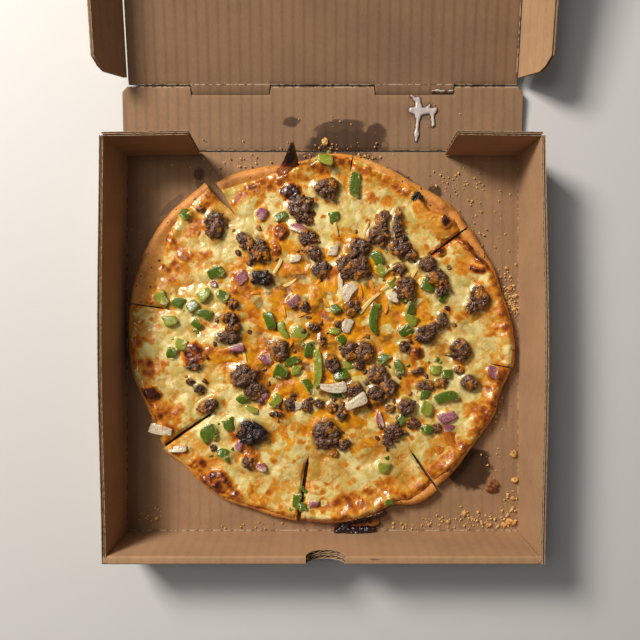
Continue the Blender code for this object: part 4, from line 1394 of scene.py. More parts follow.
    def cheese_height(self, flat: Array, distance: Array, edge: Array) -> Array:
        """Height of the cheese's top.

        Args:
            flat: places seen from above.
            distance: how far each is inside the crust's edge.
            edge: how far each is inside the cheese's edge.

        Returns:
            The heights.
        """
        thick = 0.3 + self.thickness * ramp(-1.0, 5.0, edge)
        return self.crust_top(distance, flat) + self.gap + thick + self.relief(flat) * ramp(0.0, 4.0, edge)

    def parted(self, side: int, radius: Array) -> Array:
        """How far a cut is open, from 0 to 1, at distances from the crossing."""
        total = np.zeros_like(radius)
        for low, high in self.open_cuts[side]:
            taper = 30.0 if side == 2 else 9.0
            opened = ramp(low - 3.0, low + taper, radius) * ramp(high + 3.0, high - 3.0, radius)
            total = np.maximum(total, opened)
        return total

    def cheese(self, piece: Slice, columns: int = 150, rows: int = 160) -> Patch:
        """A wedge's cheese, from its tip to a ragged edge on the rim, with its colour layers.

        Neighbours meet where the cheese melted together over a cut. Where a cut is open, each side
        draws back from it by half the gap and sags.
        """
        number = SLICES.index(piece)
        before, after = SLICES[number - 1], SLICES[(number + 1) % len(SLICES)]
        half_before = ((piece.start - before.end) % 360.0) / 2
        half_after = ((after.start - piece.end) % 360.0) / 2
        share = np.linspace(0.0, 1.0, columns)
        spread = piece.end - piece.start + half_before + half_after
        turn = np.radians(piece.start - half_before + share * spread)
        rim, way, length, bare = self.spokes(piece, share, turn, np.array(self.crossing))
        run = np.linspace(0.006, 1.0, rows)[:, None]
        distance = length - (length - bare) * run
        flat = rim[None] + way[None] * distance[..., None]
        radius = length - distance
        wide = turn[-1] - turn[0]
        normal = np.stack([way[:, 1], -way[:, 0]], axis=1)[None]
        sag = np.zeros_like(radius)
        cuts = ((number - 1, half_before, share, 1.0), (number, half_after, 1.0 - share, -1.0))
        for side, half, away, sign in cuts:
            parted = self.parted(side, radius)
            cut = away[None] * wide * radius
            ragged = 0.9 * fractal(flat.reshape(-1, 2), 6.0, 3, 71).reshape(cut.shape)
            drawn = math.radians(half) * radius + 0.25 + ragged * ramp(0.0, 1.0, parted)
            pull = parted * drawn - 0.06 * (1.0 - parted)
            flat = flat + normal * (sign * pull * np.exp(-((cut / 4.0) ** 2)))[..., None]
            sag = np.maximum(sag, parted * 1.5 * np.exp(-((cut / 1.5) ** 2)))
        places = flat.reshape(-1, 2)
        edge = (distance - bare).ravel()
        base = self.crust_top(distance.ravel(), places) + self.gap - 0.1
        top = np.maximum(self.cheese_height(places, distance.ravel(), edge) - sag.ravel(), base + 0.25)
        index = border(rows, columns)
        count = rows * columns
        under = np.column_stack([places[index], base[index]])
        points = np.concatenate([np.column_stack([places, top]), under])
        following = np.roll(index, -1)
        low = count + np.arange(len(index))
        band = np.stack([following, index, low, np.roll(low, -1)], axis=1)
        quads = np.concatenate([grid_quads(rows, columns), band])
        patch = Patch(points, quads, [(low[::-1].tolist(), 0)])
        patch.layers = self.colours(points[:, :2], np.concatenate([edge, edge[index]]))
        return facing_out(patch)

    def colours(self, flat: Array, edge: Array) -> dict[str, Array]:
        """How browned, golden, orange, greasy and shaded the cheese is at each place.

        Patches brown in round blobs with a golden ground between them. The rim browns in a web
        where noise runs high. Orange is commoner near the middle. Grease darkens the middle at random, a
        ring round each lump of mince is painted shade, partly grease, and the relief's low places get painted
        shade.
        """
        middle = np.linalg.norm(flat - self.crossing, axis=1)
        blobs = self.blobs(flat)
        patches = self.painted(flat, BROWNED, 60)
        dark = ramp(0.75, 1.0, patches)
        browned = patches * (0.38 + 0.85 * blobs) * (1.0 - dark) + patches * dark
        web = ramp(-0.25, 0.45, fractal(flat, 12.0, 3, 85) + 0.3 * fractal(flat, 3.5, 2, 87))
        rim = ramp(34.0, 2.0, edge) * web
        browned = np.maximum(browned, rim * (0.22 + 0.62 * blobs))
        chosen = lattice(np.floor(flat / 16.0).astype(np.int64), 9)
        cells = granules(self.bent(flat), 8.5, 83)
        freckles = ramp(0.42, 0.08, cells) * ramp(-0.05, 0.35, fractal(flat, 22.0, 2, 89)) * 0.55
        freckles = freckles * (0.4 + 0.6 * ramp(50.0, 80.0, middle))
        browned = np.maximum(browned, freckles * (0.6 + 0.4 * chosen))
        puff = ramp(1.06, 0.86, oval_distance(flat, PUFF, 0.08, 15))
        bare = puff * (0.24 + 0.20 * fractal(flat, 12.0, 2, 98))
        browned = np.where(puff > 0.0, np.maximum(browned * (1.0 - puff) + bare, dark), browned)
        golden = np.clip(0.25 + 0.8 * fractal(flat, 15.0, 3, 95) + 0.6 * ramp(0.0, 0.3, browned), 0.0, 1.0)
        golden = np.maximum(golden, 0.85 * ramp(30.0, 4.0, edge) * ramp(-0.3, 0.3, fractal(flat, 9.0, 2, 96)))
        run = ramp(-0.40, -0.14, fractal(self.bent(flat), 13.0, 3, 91)) * ramp(100.0, 66.0, middle)
        streaks = ramp(0.14, 0.28, fractal(self.bent(flat) + 300.0, 9.5, 2, 97))
        cheddar = np.maximum(self.painted(flat, CHEDDAR, 64, 4.5, 4.5), run) * (1.0 - 0.7 * streaks)
        pale = self.painted(flat, PALE, 66, 5.0, 4.0)
        cheddar = cheddar * (1.0 - 0.6 * pale) * (1.0 - puff)
        juice = 0.75 * ramp(0.08, 0.45, fractal(flat, 7.0, 3, 93)) * ramp(82.0, 50.0, middle)
        # A dark ring at the foot of each lump of mince: painted shade, partly grease
        for lobe in self.toppings:
            if lobe.strength > 0.5:
                distance = oval_distance(flat, lobe)
                juice = np.maximum(juice, 0.85 * np.exp(-(((distance - 0.95) / 0.26) ** 2)))
        # How high the relief stands; the cheese's shader paints shade into its low places
        height = ramp(-1.5, 0.6, self.relief(flat))
        golden = golden * (1.0 - 0.5 * pale)
        return {"browned": browned, "golden": golden, "cheddar": cheddar, "juice": juice, "height": height}

    def surface(self, x: float, y: float) -> float:
        """Height of the cheese's top at one place, or the floor's outside the pizza."""
        away = Vector((x - self.centre[0], y - self.centre[1]))
        angle = math.degrees(math.atan2(away.y, away.x)) % 360.0
        for piece in SLICES:
            turn = (angle - piece.start) % 360.0
            if turn <= piece.end - piece.start + 2.7:
                share = np.array([min(1.0, turn / (piece.end - piece.start))])
                distance = through(piece.rim, share) - away.length
                edge = distance - through(piece.bare, share)
                if distance[0] < 0:
                    return self.floor_top
                return float(self.cheese_height(np.array([(x, y)]), distance, edge)[0])
        return self.floor_top

    def build(self) -> None:
        """Makes the crusts and the cheese."""
        crust, crumb = CrustFinish().build("baked_crust_skin"), CrumbFinish().build("crust_crumb")
        cheese = CheeseFinish().build("melted_cheese_skin")
        for piece in SLICES:
            make_piece("baked_" + piece.name, self.crust(piece), [crust, crumb], Body.TRAY, Slot.CRUST,
                       ("crust_" + piece.name,))
            make_piece("melted_" + piece.name, self.cheese(piece), [cheese], Body.TRAY, Slot.CHEESE,
                       ("cheese_" + piece.name,), 80.0)


# Toppings

BEEF = (
    (Lobe(-83, 94, 23, 13, 95),),
    (Lobe(-58, 81, 17, 10, -50), Lobe(-51, 72, 15, 10, -45), Lobe(-46, 76, 21, 8, -65)),
    (Lobe(-47, 54, 18, 11, -15, 0.9),),
    (Lobe(3, 123, 18, 14),),
    (Lobe(-17, 108, 18, 16), Lobe(-15, 100, 11, 9)),
    (Lobe(-12, 85, 14, 12, -60), Lobe(-7, 73, 14, 11, -75)),
    (Lobe(27, 76, 15, 15), Lobe(19, 62, 17, 16), Lobe(29, 63, 11, 17)),
    (Lobe(43, 86, 16, 15), Lobe(46, 97, 8, 14)),
    (Lobe(57.5, 94.5, 26, 8, 85), Lobe(60, 77, 17, 13, -10), Lobe(68, 72, 9, 9)),
    (Lobe(64, 47, 15, 15), Lobe(60, 40, 7, 7)),
    (Lobe(81, 64, 14, 11), Lobe(88, 54, 17, 12, -30), Lobe(92, 45, 15, 9, 65)),
    (Lobe(121, 38, 15, 18), Lobe(114, 31, 9, 8, 30)),
    (Lobe(79, 10, 15, 13), Lobe(85, 16, 11, 7, 40), Lobe(92, 21, 14, 8, 80)),
    (Lobe(106, -2, 15, 16),),
    (Lobe(113, -27, 13, 12),),
    (Lobe(21, -2, 12, 14), Lobe(32, -3, 13, 15)),
    (Lobe(-33, -2, 15, 15),),
    (Lobe(-72, 23, 17, 8), Lobe(-68, 16, 11, 9), Lobe(-72, 8, 20, 10, 5)),
    (Lobe(-60, -22, 20, 17), Lobe(-52, -33, 15, 13, 30)),
    (Lobe(-55, -65, 21, 18, -20, 0.9),),
    (Lobe(3, -67, 21, 22),),
    (Lobe(42, -21, 14, 14), Lobe(50, -30, 14, 13), Lobe(41, -35, 11, 13)),
    (Lobe(24.5, -32.5, 14, 12), Lobe(27.5, -41, 15, 10)),
    (Lobe(8, -12, 15, 10, -60),),
    (Lobe(64, -45, 12, 12),),
    (Lobe(55, -64, 13, 11, -20), Lobe(50, -71.5, 9, 9)),
    (Lobe(-88, -45, 17, 10, 30, 0.8),),
)

PEPPERS = (
    Strip("pepper_01", 25, 126, 18, 8, 85, 1.0, 3.0),
    Strip("pepper_02", 40, 22, 23, 6, 85, 3.0, 3.5),
    Strip("pepper_03", -4, -15, 29, 6, 92, -1.5, 3.5),
    Strip("pepper_04", -88, -65, 14, 10, 45, 1.0, 3.0),
    Strip("pepper_05", 95, -38, 18, 8, 15, 1.0, 3.0),
    Strip("pepper_06", -18, 11, 12, 11, -40, 0.0, 2.5),
)

ONIONS = (
    Strip("onion_01", 26, -41, 17, 8, 30, 0.0, 3.0),
    Strip("onion_02", -124, -63, 18, 7, -14, 0.0, 2.5),
    Strip("onion_03", 20, 43, 15, 9, 55, 2.0, 2.5),
    Strip("onion_04", 8, -30, 20, 7, 0, -2.0, 2.5),
)

SMALL_BEEF = ovals(
    (59, 61, 11, 9), (-3, 61, 12, 11), (-15, 32, 8, 8), (22, 31, 12, 11), (12, 18, 7, 5), (-7, 16, 9, 7),
    (0, 6, 11, 5, 100), (28, -14, 9, 6), (63, 1, 8, 8), (73, -18, 11, 5, 20), (69, -57, 8, 8),
    (-26, -43, 9, 8), (-12, -45, 8, 8), (-3, -43, 7, 7), (8, -46, 9, 8), (15, -51, 9, 9),
    (-34, -51, 9, 5), (16, -74, 11, 8), (9, -81, 5, 5), (-57, -88, 10, 9), (-69, 34, 9, 8),
    (-99, -14, 14, 7), (-102, -26, 6, 5), (-95, -31, 8, 6), (-94, 107, 6, 5), (88, -62, 8, 7),
    (105, -17, 8, 6), (52, -47, 8, 6), (-84, -77, 5, 5), (79, -29, 15, 8), (91, -27, 12, 7, 20),
    (72, 116, 7, 7, 20, 1.4), (63, 84, 5, 5, 0, 1.4),
)

SMALL_PEPPER = ovals(
    (-105, 103, 9, 8, -30), (-82, 58, 13, 8, 15), (-123, 38, 11, 8, -60), (-111, 35, 10, 8, -20),
    (-100, 32, 9, 8, 40), (-91, 41, 11, 8, 40), (-77, 40, 10, 8, -30), (-91, 26, 11, 7, -20),
    (-117, 21, 11, 8, 10), (-97, 18, 9, 6, -40), (-32, 101, 10, 6, 25), (2, 144, 12, 8, -15),
    (9, 101, 8, 7, 20), (42, 69, 12, 8, -60), (45, 60, 9, 8, -50), (81, 48, 11, 9, -20),
    (93, 39, 9, 6, 60), (54, 50, 8, 6, 40), (62, 38, 6, 5), (68, 31, 11, 6, 80), (68, 22, 11, 7, -30),
    (64, 13, 11, 9, 30), (10, 30, 8, 7, 20), (9, 13, 10, 5), (15, 6, 8, 7, -50), (-41, 21, 14, 8, -70),
    (-30, 13, 15, 6, -60), (-10, -1, 11, 9, 90), (-23, -10, 11, 7, 20), (-20, -17, 8, 7),
    (-32, -18, 11, 9, -30), (-11, -29, 14, 7, -60), (19, -12, 11, 5, -60), (14, -21, 12, 8, 20),
    (47, -8, 10, 7, 40), (-36, -41, 11, 7, 55), (12, -36, 11, 5), (58, -15, 12, 7, -80), (87, -17, 9, 7),
    (96, -20, 8, 7), (79, -36, 8, 7), (80, -46, 11, 9, 80), (81, -63, 9, 8, -20), (61, -55, 11, 7, 50),
    (-109, 3, 9, 8, -20), (-116, -4, 9, 8, 70), (-62, -40, 8, 8, -40), (-55, -47, 11, 4, -25),
    (-72, -59, 9, 9, 20), (-76, -82, 11, 8, -25), (-83, -69, 5, 5), (-20, -118, 12, 6, 80),
    (-15, -122, 7, 6), (47, -92, 10, 8, -20), (51, -118, 7, 6),
)

SMALL_PURPLE = ovals(
    (-19, 93, 13, 8, -15), (-47, 103, 8, 8, -40), (-22, 36, 11, 8, 45), (-62, 54, 10, 8, 40),
    (-84, 49, 5, 5), (-43, -9, 9, 8, -60), (-66, 0, 11, 6, 10), (131, -19, 9, 8, 85),
    (96, -53, 14, 8, 20), (98, -62, 9, 5, 5), (-64, -75, 8, 6, 60), (-47, -92, 7, 6),
    (-7, -120, 8, 5, 10), (-46, -39, 10, 6, 50), (44, -55, 12, 5, -80),
)

SMALL_CREAM = ovals(
    (-111.5, -77.5, 14, 5, 5), (19, 17, 11, 7, 70), (-19, -44, 7, 6), (8, 75, 8, 8), (14, 51, 15, 4, 90),
    (-21, 69, 9, 6), (54, 39, 8, 8),
)

ORANGE_SHREDS = ovals(
    (10.3, 48.3, 16, 2.4, 87), (28.7, 42.9, 15, 3.0, -80), (38, 46.7, 12, 3.0, 100),
    (-3, 52, 11, 2.4, 60), (-14, 26, 12, 2.4, 20), (3, 35, 11, 2.4, 120), (49, 30, 10, 2.4, 75),
    (-30, 28, 12, 2.4, 100), (-52, 42, 11, 2.4, 10), (30, 8, 10, 2.4, 35), (-12, 78, 10, 2.2, 70),
    (-25, 2, 10, 2.2, 60),
)

CREAM_SHREDS = ovals(
    (13.4, 50.6, 16, 2.8, 88), (36, 34.5, 22, 3.0, 46), (49, 47, 12, 3.0, 40), (-8, 66, 14, 2.6, 110),
    (33, 90, 16, 2.6, 70), (56, 62, 14, 2.4, 20), (-35, 62, 15, 2.6, 60), (-60, -8, 14, 2.4, 100),
    (10, 95, 20, 2.6, 100), (70, 56, 14, 2.4, 60), (-25, 50, 12, 2.4, 30),
)

# Large crumbs on the floor, then a flake of browned cheese there and a crumb on the back panel
CHUNKS = ovals(
    (149, -83, 5.5, 4.5, 20), (150.4, -104, 5, 4.4, 50), (147.5, -137, 6.5, 5, 0), (142, -139, 4, 3.4, 0),
    (111, -130, 4.6, 3.4, 80), (130, -139, 4, 3.4, 10), (147, 47, 4.4, 3.4, 30), (150, 30, 3.6, 3, 0),
    (98, -137, 3.4, 2.8, 0), (149, -118, 3.4, 3, 0), (144, 62, 3, 2.6, 0), (-130, -134, 3.2, 2.6, 0),
    (132, -108.6, 11, 7, 30), (1.5, 161, 5.5, 4.4, 40),
)


# The strengths that mark a charred lump of mince
CHARRED = (0.9, 1.4)


@dataclass
class Toppings:
    """Everything that lies on the cheese."""

    pizza: PizzaShape
    beef_height: float = 7.0

    def ball(self, rows: int, columns: int) -> tuple[Array, Array, list[list[int]]]:
        """Unit directions over a sphere, ring by ring, with the faces between the rings.

        Args:
            rows: rings from pole to pole.
            columns: directions in a ring.

        Returns:
            The directions, the four-sided faces and the two small faces that close the poles.
        """
        tilt = np.linspace(-math.pi / 2, math.pi / 2, rows + 2)[1:-1, None]
        turn = np.linspace(0.0, TAU, columns, endpoint=False)[None]
        level = np.cos(tilt)
        way = np.stack([level * np.cos(turn), level * np.sin(turn), np.sin(tilt) + 0.0 * turn], axis=-1)
        index = np.arange(rows * columns).reshape(rows, columns)
        right = np.roll(index, -1, axis=1)
        quads = np.stack([index[:-1], right[:-1], right[1:], index[1:]], axis=-1).reshape(-1, 4)
        return way.reshape(-1, 3), quads, [index[0, ::-1].tolist(), index[-1].tolist()]

    def chance(self, index: int, seed: int, low: float = 0.0, high: float = 1.0) -> float:
        """A number between two others that looks random, the same each run."""
        return low + (high - low) * float(lattice(np.array([[index, seed]]), 5)[0])

    def laid(self, local: Array, lobe: Lobe) -> tuple[Array, Array]:
        """Turns places about an oval's own centre into places on the pizza."""
        turn = math.radians(lobe.turn)
        x = lobe.x + local[:, 0] * math.cos(turn) - local[:, 1] * math.sin(turn)
        return x, lobe.y + local[:, 0] * math.sin(turn) + local[:, 1] * math.cos(turn)

    def foot(self, lobe: Lobe, sunk: float) -> float:
        """The height that a topping stands at when it has sunk so far into the cheese."""
        return self.pizza.surface(lobe.x, lobe.y) - sunk

    def crumble(self, lobe: Lobe, height: float, foot: float, seed: int, rows: int, columns: int) -> Patch:
        """A lump of fried mince.

        An ellipsoid swells and shrinks by broad noise. Distances to scattered centres, coarse and
        fine, then raise irregular crumbs with creases between them.
        """
        way, quads, caps = self.ball(rows, columns)
        half = np.array([lobe.length / 2, lobe.width / 2, height / 2])
        broad = fractal(way + seed * 3.7, 0.95, 3, seed)
        base = way * half * np.maximum(1.0 + 0.85 * broad, 0.4)[:, None]
        bent = base + 1.2 * np.stack([fractal(base + seed * 5.0, 3.4, 2, seed + i) for i in range(3)], axis=1)
        coarse = granules(bent + seed * 11.0, min(4.4, 0.42 * lobe.width), seed)
        reach = min(1.0, lobe.width / 10.0)
        ridges = 1.0 - np.abs(fractal(bent + seed, 3.0, 3, seed + 9))
        fine = fractal(base + seed * 7.0, 1.7, 2, seed + 50)
        local = base + way * (reach * (0.7 - 1.3 * coarse + 1.1 * (ridges - 0.7)) + 0.3 * fine)[:, None]
        x, y = self.laid(local, lobe)
        z = np.maximum(local[:, 2] + height * 0.3, -0.6) + foot
        place = np.stack([x, y], axis=1)
        film = ramp(0.6, 0.1, (z - foot) / height) * 0.8 + 0.8 * ramp(0.05, 0.45, fractal(place, 7.0, 2, 401))
        burnt = lobe.strength in CHARRED
        # High on the tops of the crumbs and low in the creases between them, for painted light and shade
        crest = 0.85 - 0.85 * coarse + 0.3 * fine + 0.9 * (ridges - 0.7) + 0.25 * broad
        layers = {
            "crest": np.clip(crest, 0, 1),
            "film": np.clip(film, 0, 1) * (0.0 if burnt else 1.0),
            "char": np.full(len(x), 0.95 if burnt else 0.0),
        }
        return facing_out(Patch(np.stack([x, y, z], axis=1), quads, [(cap, 0) for cap in caps], layers))

    def heap(self, lobe: Lobe, height: float, foot: float, seed: int, fine: float = 1.0) -> Patch:
        """A lump of mince: small crumbs packed round a core that fills most of an oval."""
        core = Lobe(lobe.x, lobe.y, lobe.length * 0.68, lobe.width * 0.68, lobe.turn, lobe.strength)
        parts = [self.crumble(core, height * 0.85, foot, seed, round(32 * fine), round(52 * fine))]
        count = max(4, round(lobe.length * lobe.width / 26.0))
        turn = math.radians(lobe.turn)
        for index in range(count):
            angle = TAU * (index + self.chance(index, seed, 0.0, 0.7)) / count
            share = self.chance(index, seed + 1, 0.36, 0.72)
            along = share * lobe.length / 2 * math.cos(angle)
            across = share * lobe.width / 2 * math.sin(angle)
            size = min(6.0, self.chance(index, seed + 2, 0.28, 0.52) * lobe.width)
            crumb = Lobe(
                lobe.x + along * math.cos(turn) - across * math.sin(turn),
                lobe.y + along * math.sin(turn) + across * math.cos(turn),
                size * self.chance(index, seed + 3, 1, 2.1), size, self.chance(index, seed + 4, 0, 180),
                lobe.strength)
            rise = (1.0 - share) * height * self.chance(index, seed + 5, 0.3, 0.75)
            tall = height * self.chance(index, seed + 6, 0.4, 0.7)
            rows, columns = round(18 * fine), round(28 * fine)
            parts.append(self.crumble(crumb, tall, foot + rise, seed * 31 + index, rows, columns))
        return merged(parts)

    def diced(self, lobe: Lobe, height: float, foot: float, seed: int, bend: float, lean: float, rows: int,
              columns: int) -> Patch:
        """A cut die or strip: a box with round corners, bent, tapered, sheared and tilted.

        A direction becomes a point of the superellipsoid, each coordinate being the size times a
        low power of the direction's own, so that the faces are nearly flat.
        """
        way, quads, caps = self.ball(rows, columns)
        half = np.array([lobe.length / 2, lobe.width / 2, height / 2])
        boxy = np.sign(way) * np.abs(way) ** 0.55
        boxy /= np.maximum((np.abs(boxy) ** 4.5).sum(axis=1) ** (1 / 4.5), 1e-6)[:, None]
        rough = 1.0 + 0.20 * fractal(way + seed * 1.9, 0.8, 3, seed)
        local = boxy * half * rough[:, None]
        local[:, 1] *= 1.0 + self.chance(seed, 1, -0.28, 0.28) * boxy[:, 0]
        local[:, 0] += self.chance(seed, 2, -0.3, 0.3) * local[:, 1]
        local[:, 1] += bend * (0.5 - boxy[:, 0] ** 2)
        droop = self.chance(seed, 3, -1.3, 0.4) * boxy[:, 0] ** 2
        local[:, 2] += droop + 0.3 * fractal(local + seed, 3.0, 2, seed)
        tilt = math.radians(lean)
        z = local[:, 2] * math.cos(tilt) + local[:, 1] * math.sin(tilt)
        local[:, 1] = local[:, 1] * math.cos(tilt) - local[:, 2] * math.sin(tilt)
        x, y = self.laid(local, lobe)
        up = 1.0 if seed % 3 else -0.6
        rim = ramp(0.72, 1.0, np.maximum(np.abs(boxy[:, 0]), np.abs(boxy[:, 1])))
        purple = 0.45 + self.chance(seed, 4, -0.7, 0.9) * boxy[:, 1] + 0.3 * boxy[:, 2]
        covered = self.chance(seed, 6, -0.2, 0.55) * ramp(-0.4, 0.9, boxy[:, 0])
        layers = {
            "skin": np.clip(0.45 + 0.6 * up * boxy[:, 2] + 0.3 * boxy[:, 1], 0, 1),
            "edge": rim * ramp(1.0, 0.5, np.abs(boxy[:, 2])),
            "purple": np.clip(purple, 0, 1),
            "film": ramp(0.2, -0.6, boxy[:, 2]) * 0.5 + covered,
            "across": local[:, 1],
        }
        points = np.stack([x, y, z + foot + height / 2], axis=1)
        return facing_out(Patch(points, quads, [(cap, 0) for cap in caps], layers))

    def scattered(self, anchors: Sequence[Lobe], count: int, low: float, high: float,
                  seed: int) -> list[Lobe]:
        """Small ovals thrown round given ones, at one to one and a half times their reach."""
        made = []
        for index in range(count):
            anchor = anchors[int(self.chance(index, seed, 0, len(anchors) - 0.001))]
            turn = self.chance(index, seed + 1, 0, TAU)
            reach = self.chance(index, seed + 2, 0.5, 0.95) * max(anchor.length, anchor.width)
            size = self.chance(index, seed + 3, low, high)
            made.append(Lobe(
                anchor.x + reach * math.cos(turn), anchor.y + reach * math.sin(turn), size,
                size * self.chance(index, seed + 4, 0.55, 0.95), math.degrees(turn) * 3))
        return made

    def build_beef(self) -> None:
        """Makes the large crumbles, a piece for each node, and the small ones."""
        finish = BeefFinish().build("fried_mince")
        for number, lobes in enumerate(BEEF, 1):
            patches = []
            for index, lobe in enumerate(lobes):
                height = self.beef_height * (0.75 + 0.02 * min(lobe.length, lobe.width))
                patches.append(self.heap(lobe, height, self.foot(lobe, 1.0), number * 5 + index))
            make_piece(f"mince_{number:02d}", merged(patches), [finish], Body.TRAY, Slot.BEEF,
                       (f"beef_{number:02d}",), 90.0)
        inner = [lobe for lobes in BEEF for lobe in lobes if math.hypot(lobe.x - 4, lobe.y - 11) < 95]
        tiny = self.scattered(inner + list(SMALL_BEEF[:24]), 130, 2.4, 5.0, 21)
        small = [
            self.heap(lobe, 4.6, self.foot(lobe, 0.9), 300 + index, 0.7)
            for index, lobe in enumerate(SMALL_BEEF)
        ] + [
            self.crumble(lobe, 0.6 * lobe.length, self.foot(lobe, 0.3), 700 + index, 12, 18)
            for index, lobe in enumerate(tiny)
        ]
        make_piece("mince_bits", merged(small), [finish], Body.TRAY, Slot.BEEF, (), 90.0)

    def build_greens(self) -> None:
        """Makes the peppers and the onions."""
        pepper = PepperFinish().build("pepper_flesh")
        onion = OnionFinish().build("onion_flesh")
        for index, strip in enumerate(PEPPERS + ONIONS):
            lobe = Lobe(strip.x, strip.y, strip.length, strip.width, strip.turn)
            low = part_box(strip.node)[0][2] / MM
            foot = max(self.foot(lobe, 1.1), low - 1.2)
            patch = self.diced(lobe, strip.height, foot, 40 + index, strip.bend, 0.0, 24, 52)
            name, finish, slot = "green_", pepper, Slot.PEPPER
            if strip.node.startswith("onion"):
                patch.layers["purple"] *= 0.12
                name, finish, slot = "cream_", onion, Slot.ONION
            make_piece(name + strip.node[-2:], patch, [finish], Body.TRAY, slot, (strip.node,), 70.0)
        bits = self.scattered(SMALL_PEPPER, 46, 1.8, 4.0, 31)
        for name, lobes, finish, slot, purple, height in (
            ("green_dice", list(SMALL_PEPPER) + bits, pepper, Slot.PEPPER, 0.0, 2.9),
            ("purple_dice", SMALL_PURPLE, onion, Slot.ONION, 1.0, 2.4),
            ("cream_dice", SMALL_CREAM, onion, Slot.ONION, 0.1, 2.2),
        ):
            patches = []
            for index, lobe in enumerate(lobes):
                tall = min(height, 0.75 * lobe.width)
                bend, lean = 1.1 * math.sin(index * 2.1), self.chance(index, 9, -22, 22)
                patch = self.diced(lobe, tall, self.foot(lobe, 0.45 * tall), 100 + index, bend, lean, 12, 26)
                patch.layers["purple"] *= purple
                patches.append(patch)
            make_piece(name, merged(patches), [finish], Body.TRAY, slot, (), 70.0)

    def build_shreds(self) -> None:
        """Makes the shreds of grated cheese that softened but kept their shape."""
        for name, colour, second, shreds in (
            ("orange_shreds", (0.84, 0.34, 0.010), (0.66, 0.20, 0.008), ORANGE_SHREDS),
            ("cream_shreds", (0.78, 0.60, 0.24), (0.76, 0.48, 0.12), CREAM_SHREDS),
        ):
            finish = PlainFinish(colour, second, 0.3, 4.0, 0.3).build(name + "_skin")
            patches = []
            for index, lobe in enumerate(shreds):
                bend = 1.2 * math.sin(index * 1.7)
                patch = self.diced(lobe, 2.2, self.foot(lobe, 1.2), 800 + index, bend, 0.0, 16, 32)
                patch.layers = {}
                patches.append(patch)
            make_piece(name, merged(patches), [finish], Body.TRAY, Slot.CHEESE, (), 80.0)

    def build_burnt(self) -> None:
        """Makes the burnt curl at the back rim and what ran over the front rim.

        The curl is a thin fin between two edges that meet at its tip. The spill is a height field
        over two ropes and a thin film.
        """
        finish = BurntFinish().build("burnt_cheese_skin")
        left = np.array([
            (-40.0, 130, 11.6), (-36.5, 135, 13.4), (-32.0, 140.5, 15.6), (-28.6, 145, 19.5),
            (-26.2, 150, 25), (-23.0, 154, 31)])
        right = np.array([
            (-17.0, 131, 11.4), (-17.6, 136, 12.4), (-18.3, 141.5, 14.5), (-19.4, 146, 20),
            (-20.6, 151, 26.5), (-21.6, 154.6, 32.5)])
        run, share = np.linspace(0, 1, 64), np.linspace(0, 1, 40)[None, :, None]
        low, high = (
            np.stack([through(tuple(column), run) for column in side.T], axis=1)[:, None]
            for side in (left, right)
        )
        front = low + (high - low) * share
        flat = front.reshape(-1, 3)
        crumpled = np.stack([fractal(flat, 4.5, 3, 90 + i) for i in range(3)], axis=1).reshape(front.shape)
        front = front + crumpled * (0.8, 1.6, 1.2) + np.sin(share * math.pi) * (0.0, -1.6, 1.8)
        thick = 0.9 + 0.4 * fractal(flat, 3.0, 2, 99).reshape(front.shape[:2])
        curl = facing_out(shell(front, front + np.stack([0 * thick, 0.7 * thick, -thick], axis=-1)))
        tone = 0.36 + 0.6 * ramp(14.0, 21.0, curl.points[:, 2]) + 0.22 * fractal(curl.points, 4.0, 2, 95)
        curl.layers = {"burnt": np.clip(tone, 0.3, 1.0)}
        make_piece("burnt_curl", curl, [finish], Body.TRAY, Slot.BURNT, (), 80.0)

        left_end, front_end, step = 6.0, -147.2, 0.4
        x, y = np.meshgrid(np.arange(left_end, 54.0, step), np.arange(front_end, -124.0, step))
        flat = np.stack([x.ravel(), y.ravel()], axis=1)
        bent = flat + 0.6 * np.stack([fractal(flat, 3.5, 2, 7), fractal(flat, 3.5, 2, 8)], axis=1)
        rope = (
            (46.1, -129.4, 3.0), (39.8, -131.3, 2.4), (35.8, -133.7, 2.9), (31, -134.9, 2.4),
            (25.8, -134.5, 3.0), (21.9, -135.7, 2.4), (18.7, -137.7, 2.6), (15.4, -140.8, 2.3))
        mass = (
            (11.1, -143.2, 2.3), (17.0, -142.8, 2.8), (23.7, -143.0, 3.2), (31.0, -142.6, 3.1),
            (38.8, -141.9, 2.3))
        between = ((16.0, -140.0, 3.0), (24.0, -138.9, 3.9), (34.0, -137.9, 4.2), (42.0, -136.0, 3.4))
        tall = 4.6 * rounded((pooled(bent, (rope, mass), 0.35) + 0.5) / 2.4)
        film = 2.0 * rounded(pooled(bent, (between,), 0.4) / 1.6)
        top = np.maximum(tall * (1.0 + 0.22 * fractal(flat, 1.9, 2, 31)), film).reshape(x.shape)
        inside = 145.5 - np.hypot(x - self.pizza.centre[0], y - self.pizza.centre[1])
        rise = 3.2 + 9.2 * ramp(-2.5, 3.5, inside)
        front = np.stack([x, y, rise + top], axis=-1)
        spill = walled(front, np.stack([x, y, rise - 0.1], axis=-1), filled(top, 0.2))
        seen = (spill.points[:, :2] - (left_end, front_end)) / step
        column, row = np.round(seen).astype(int).T
        spill.layers = {"burnt": 0.95 * ramp(1.7, 2.9, top[row, column])}
        make_piece("burnt_spill", spill, [finish], Body.TRAY, Slot.BURNT, ("burnt_overflow",), 80.0)

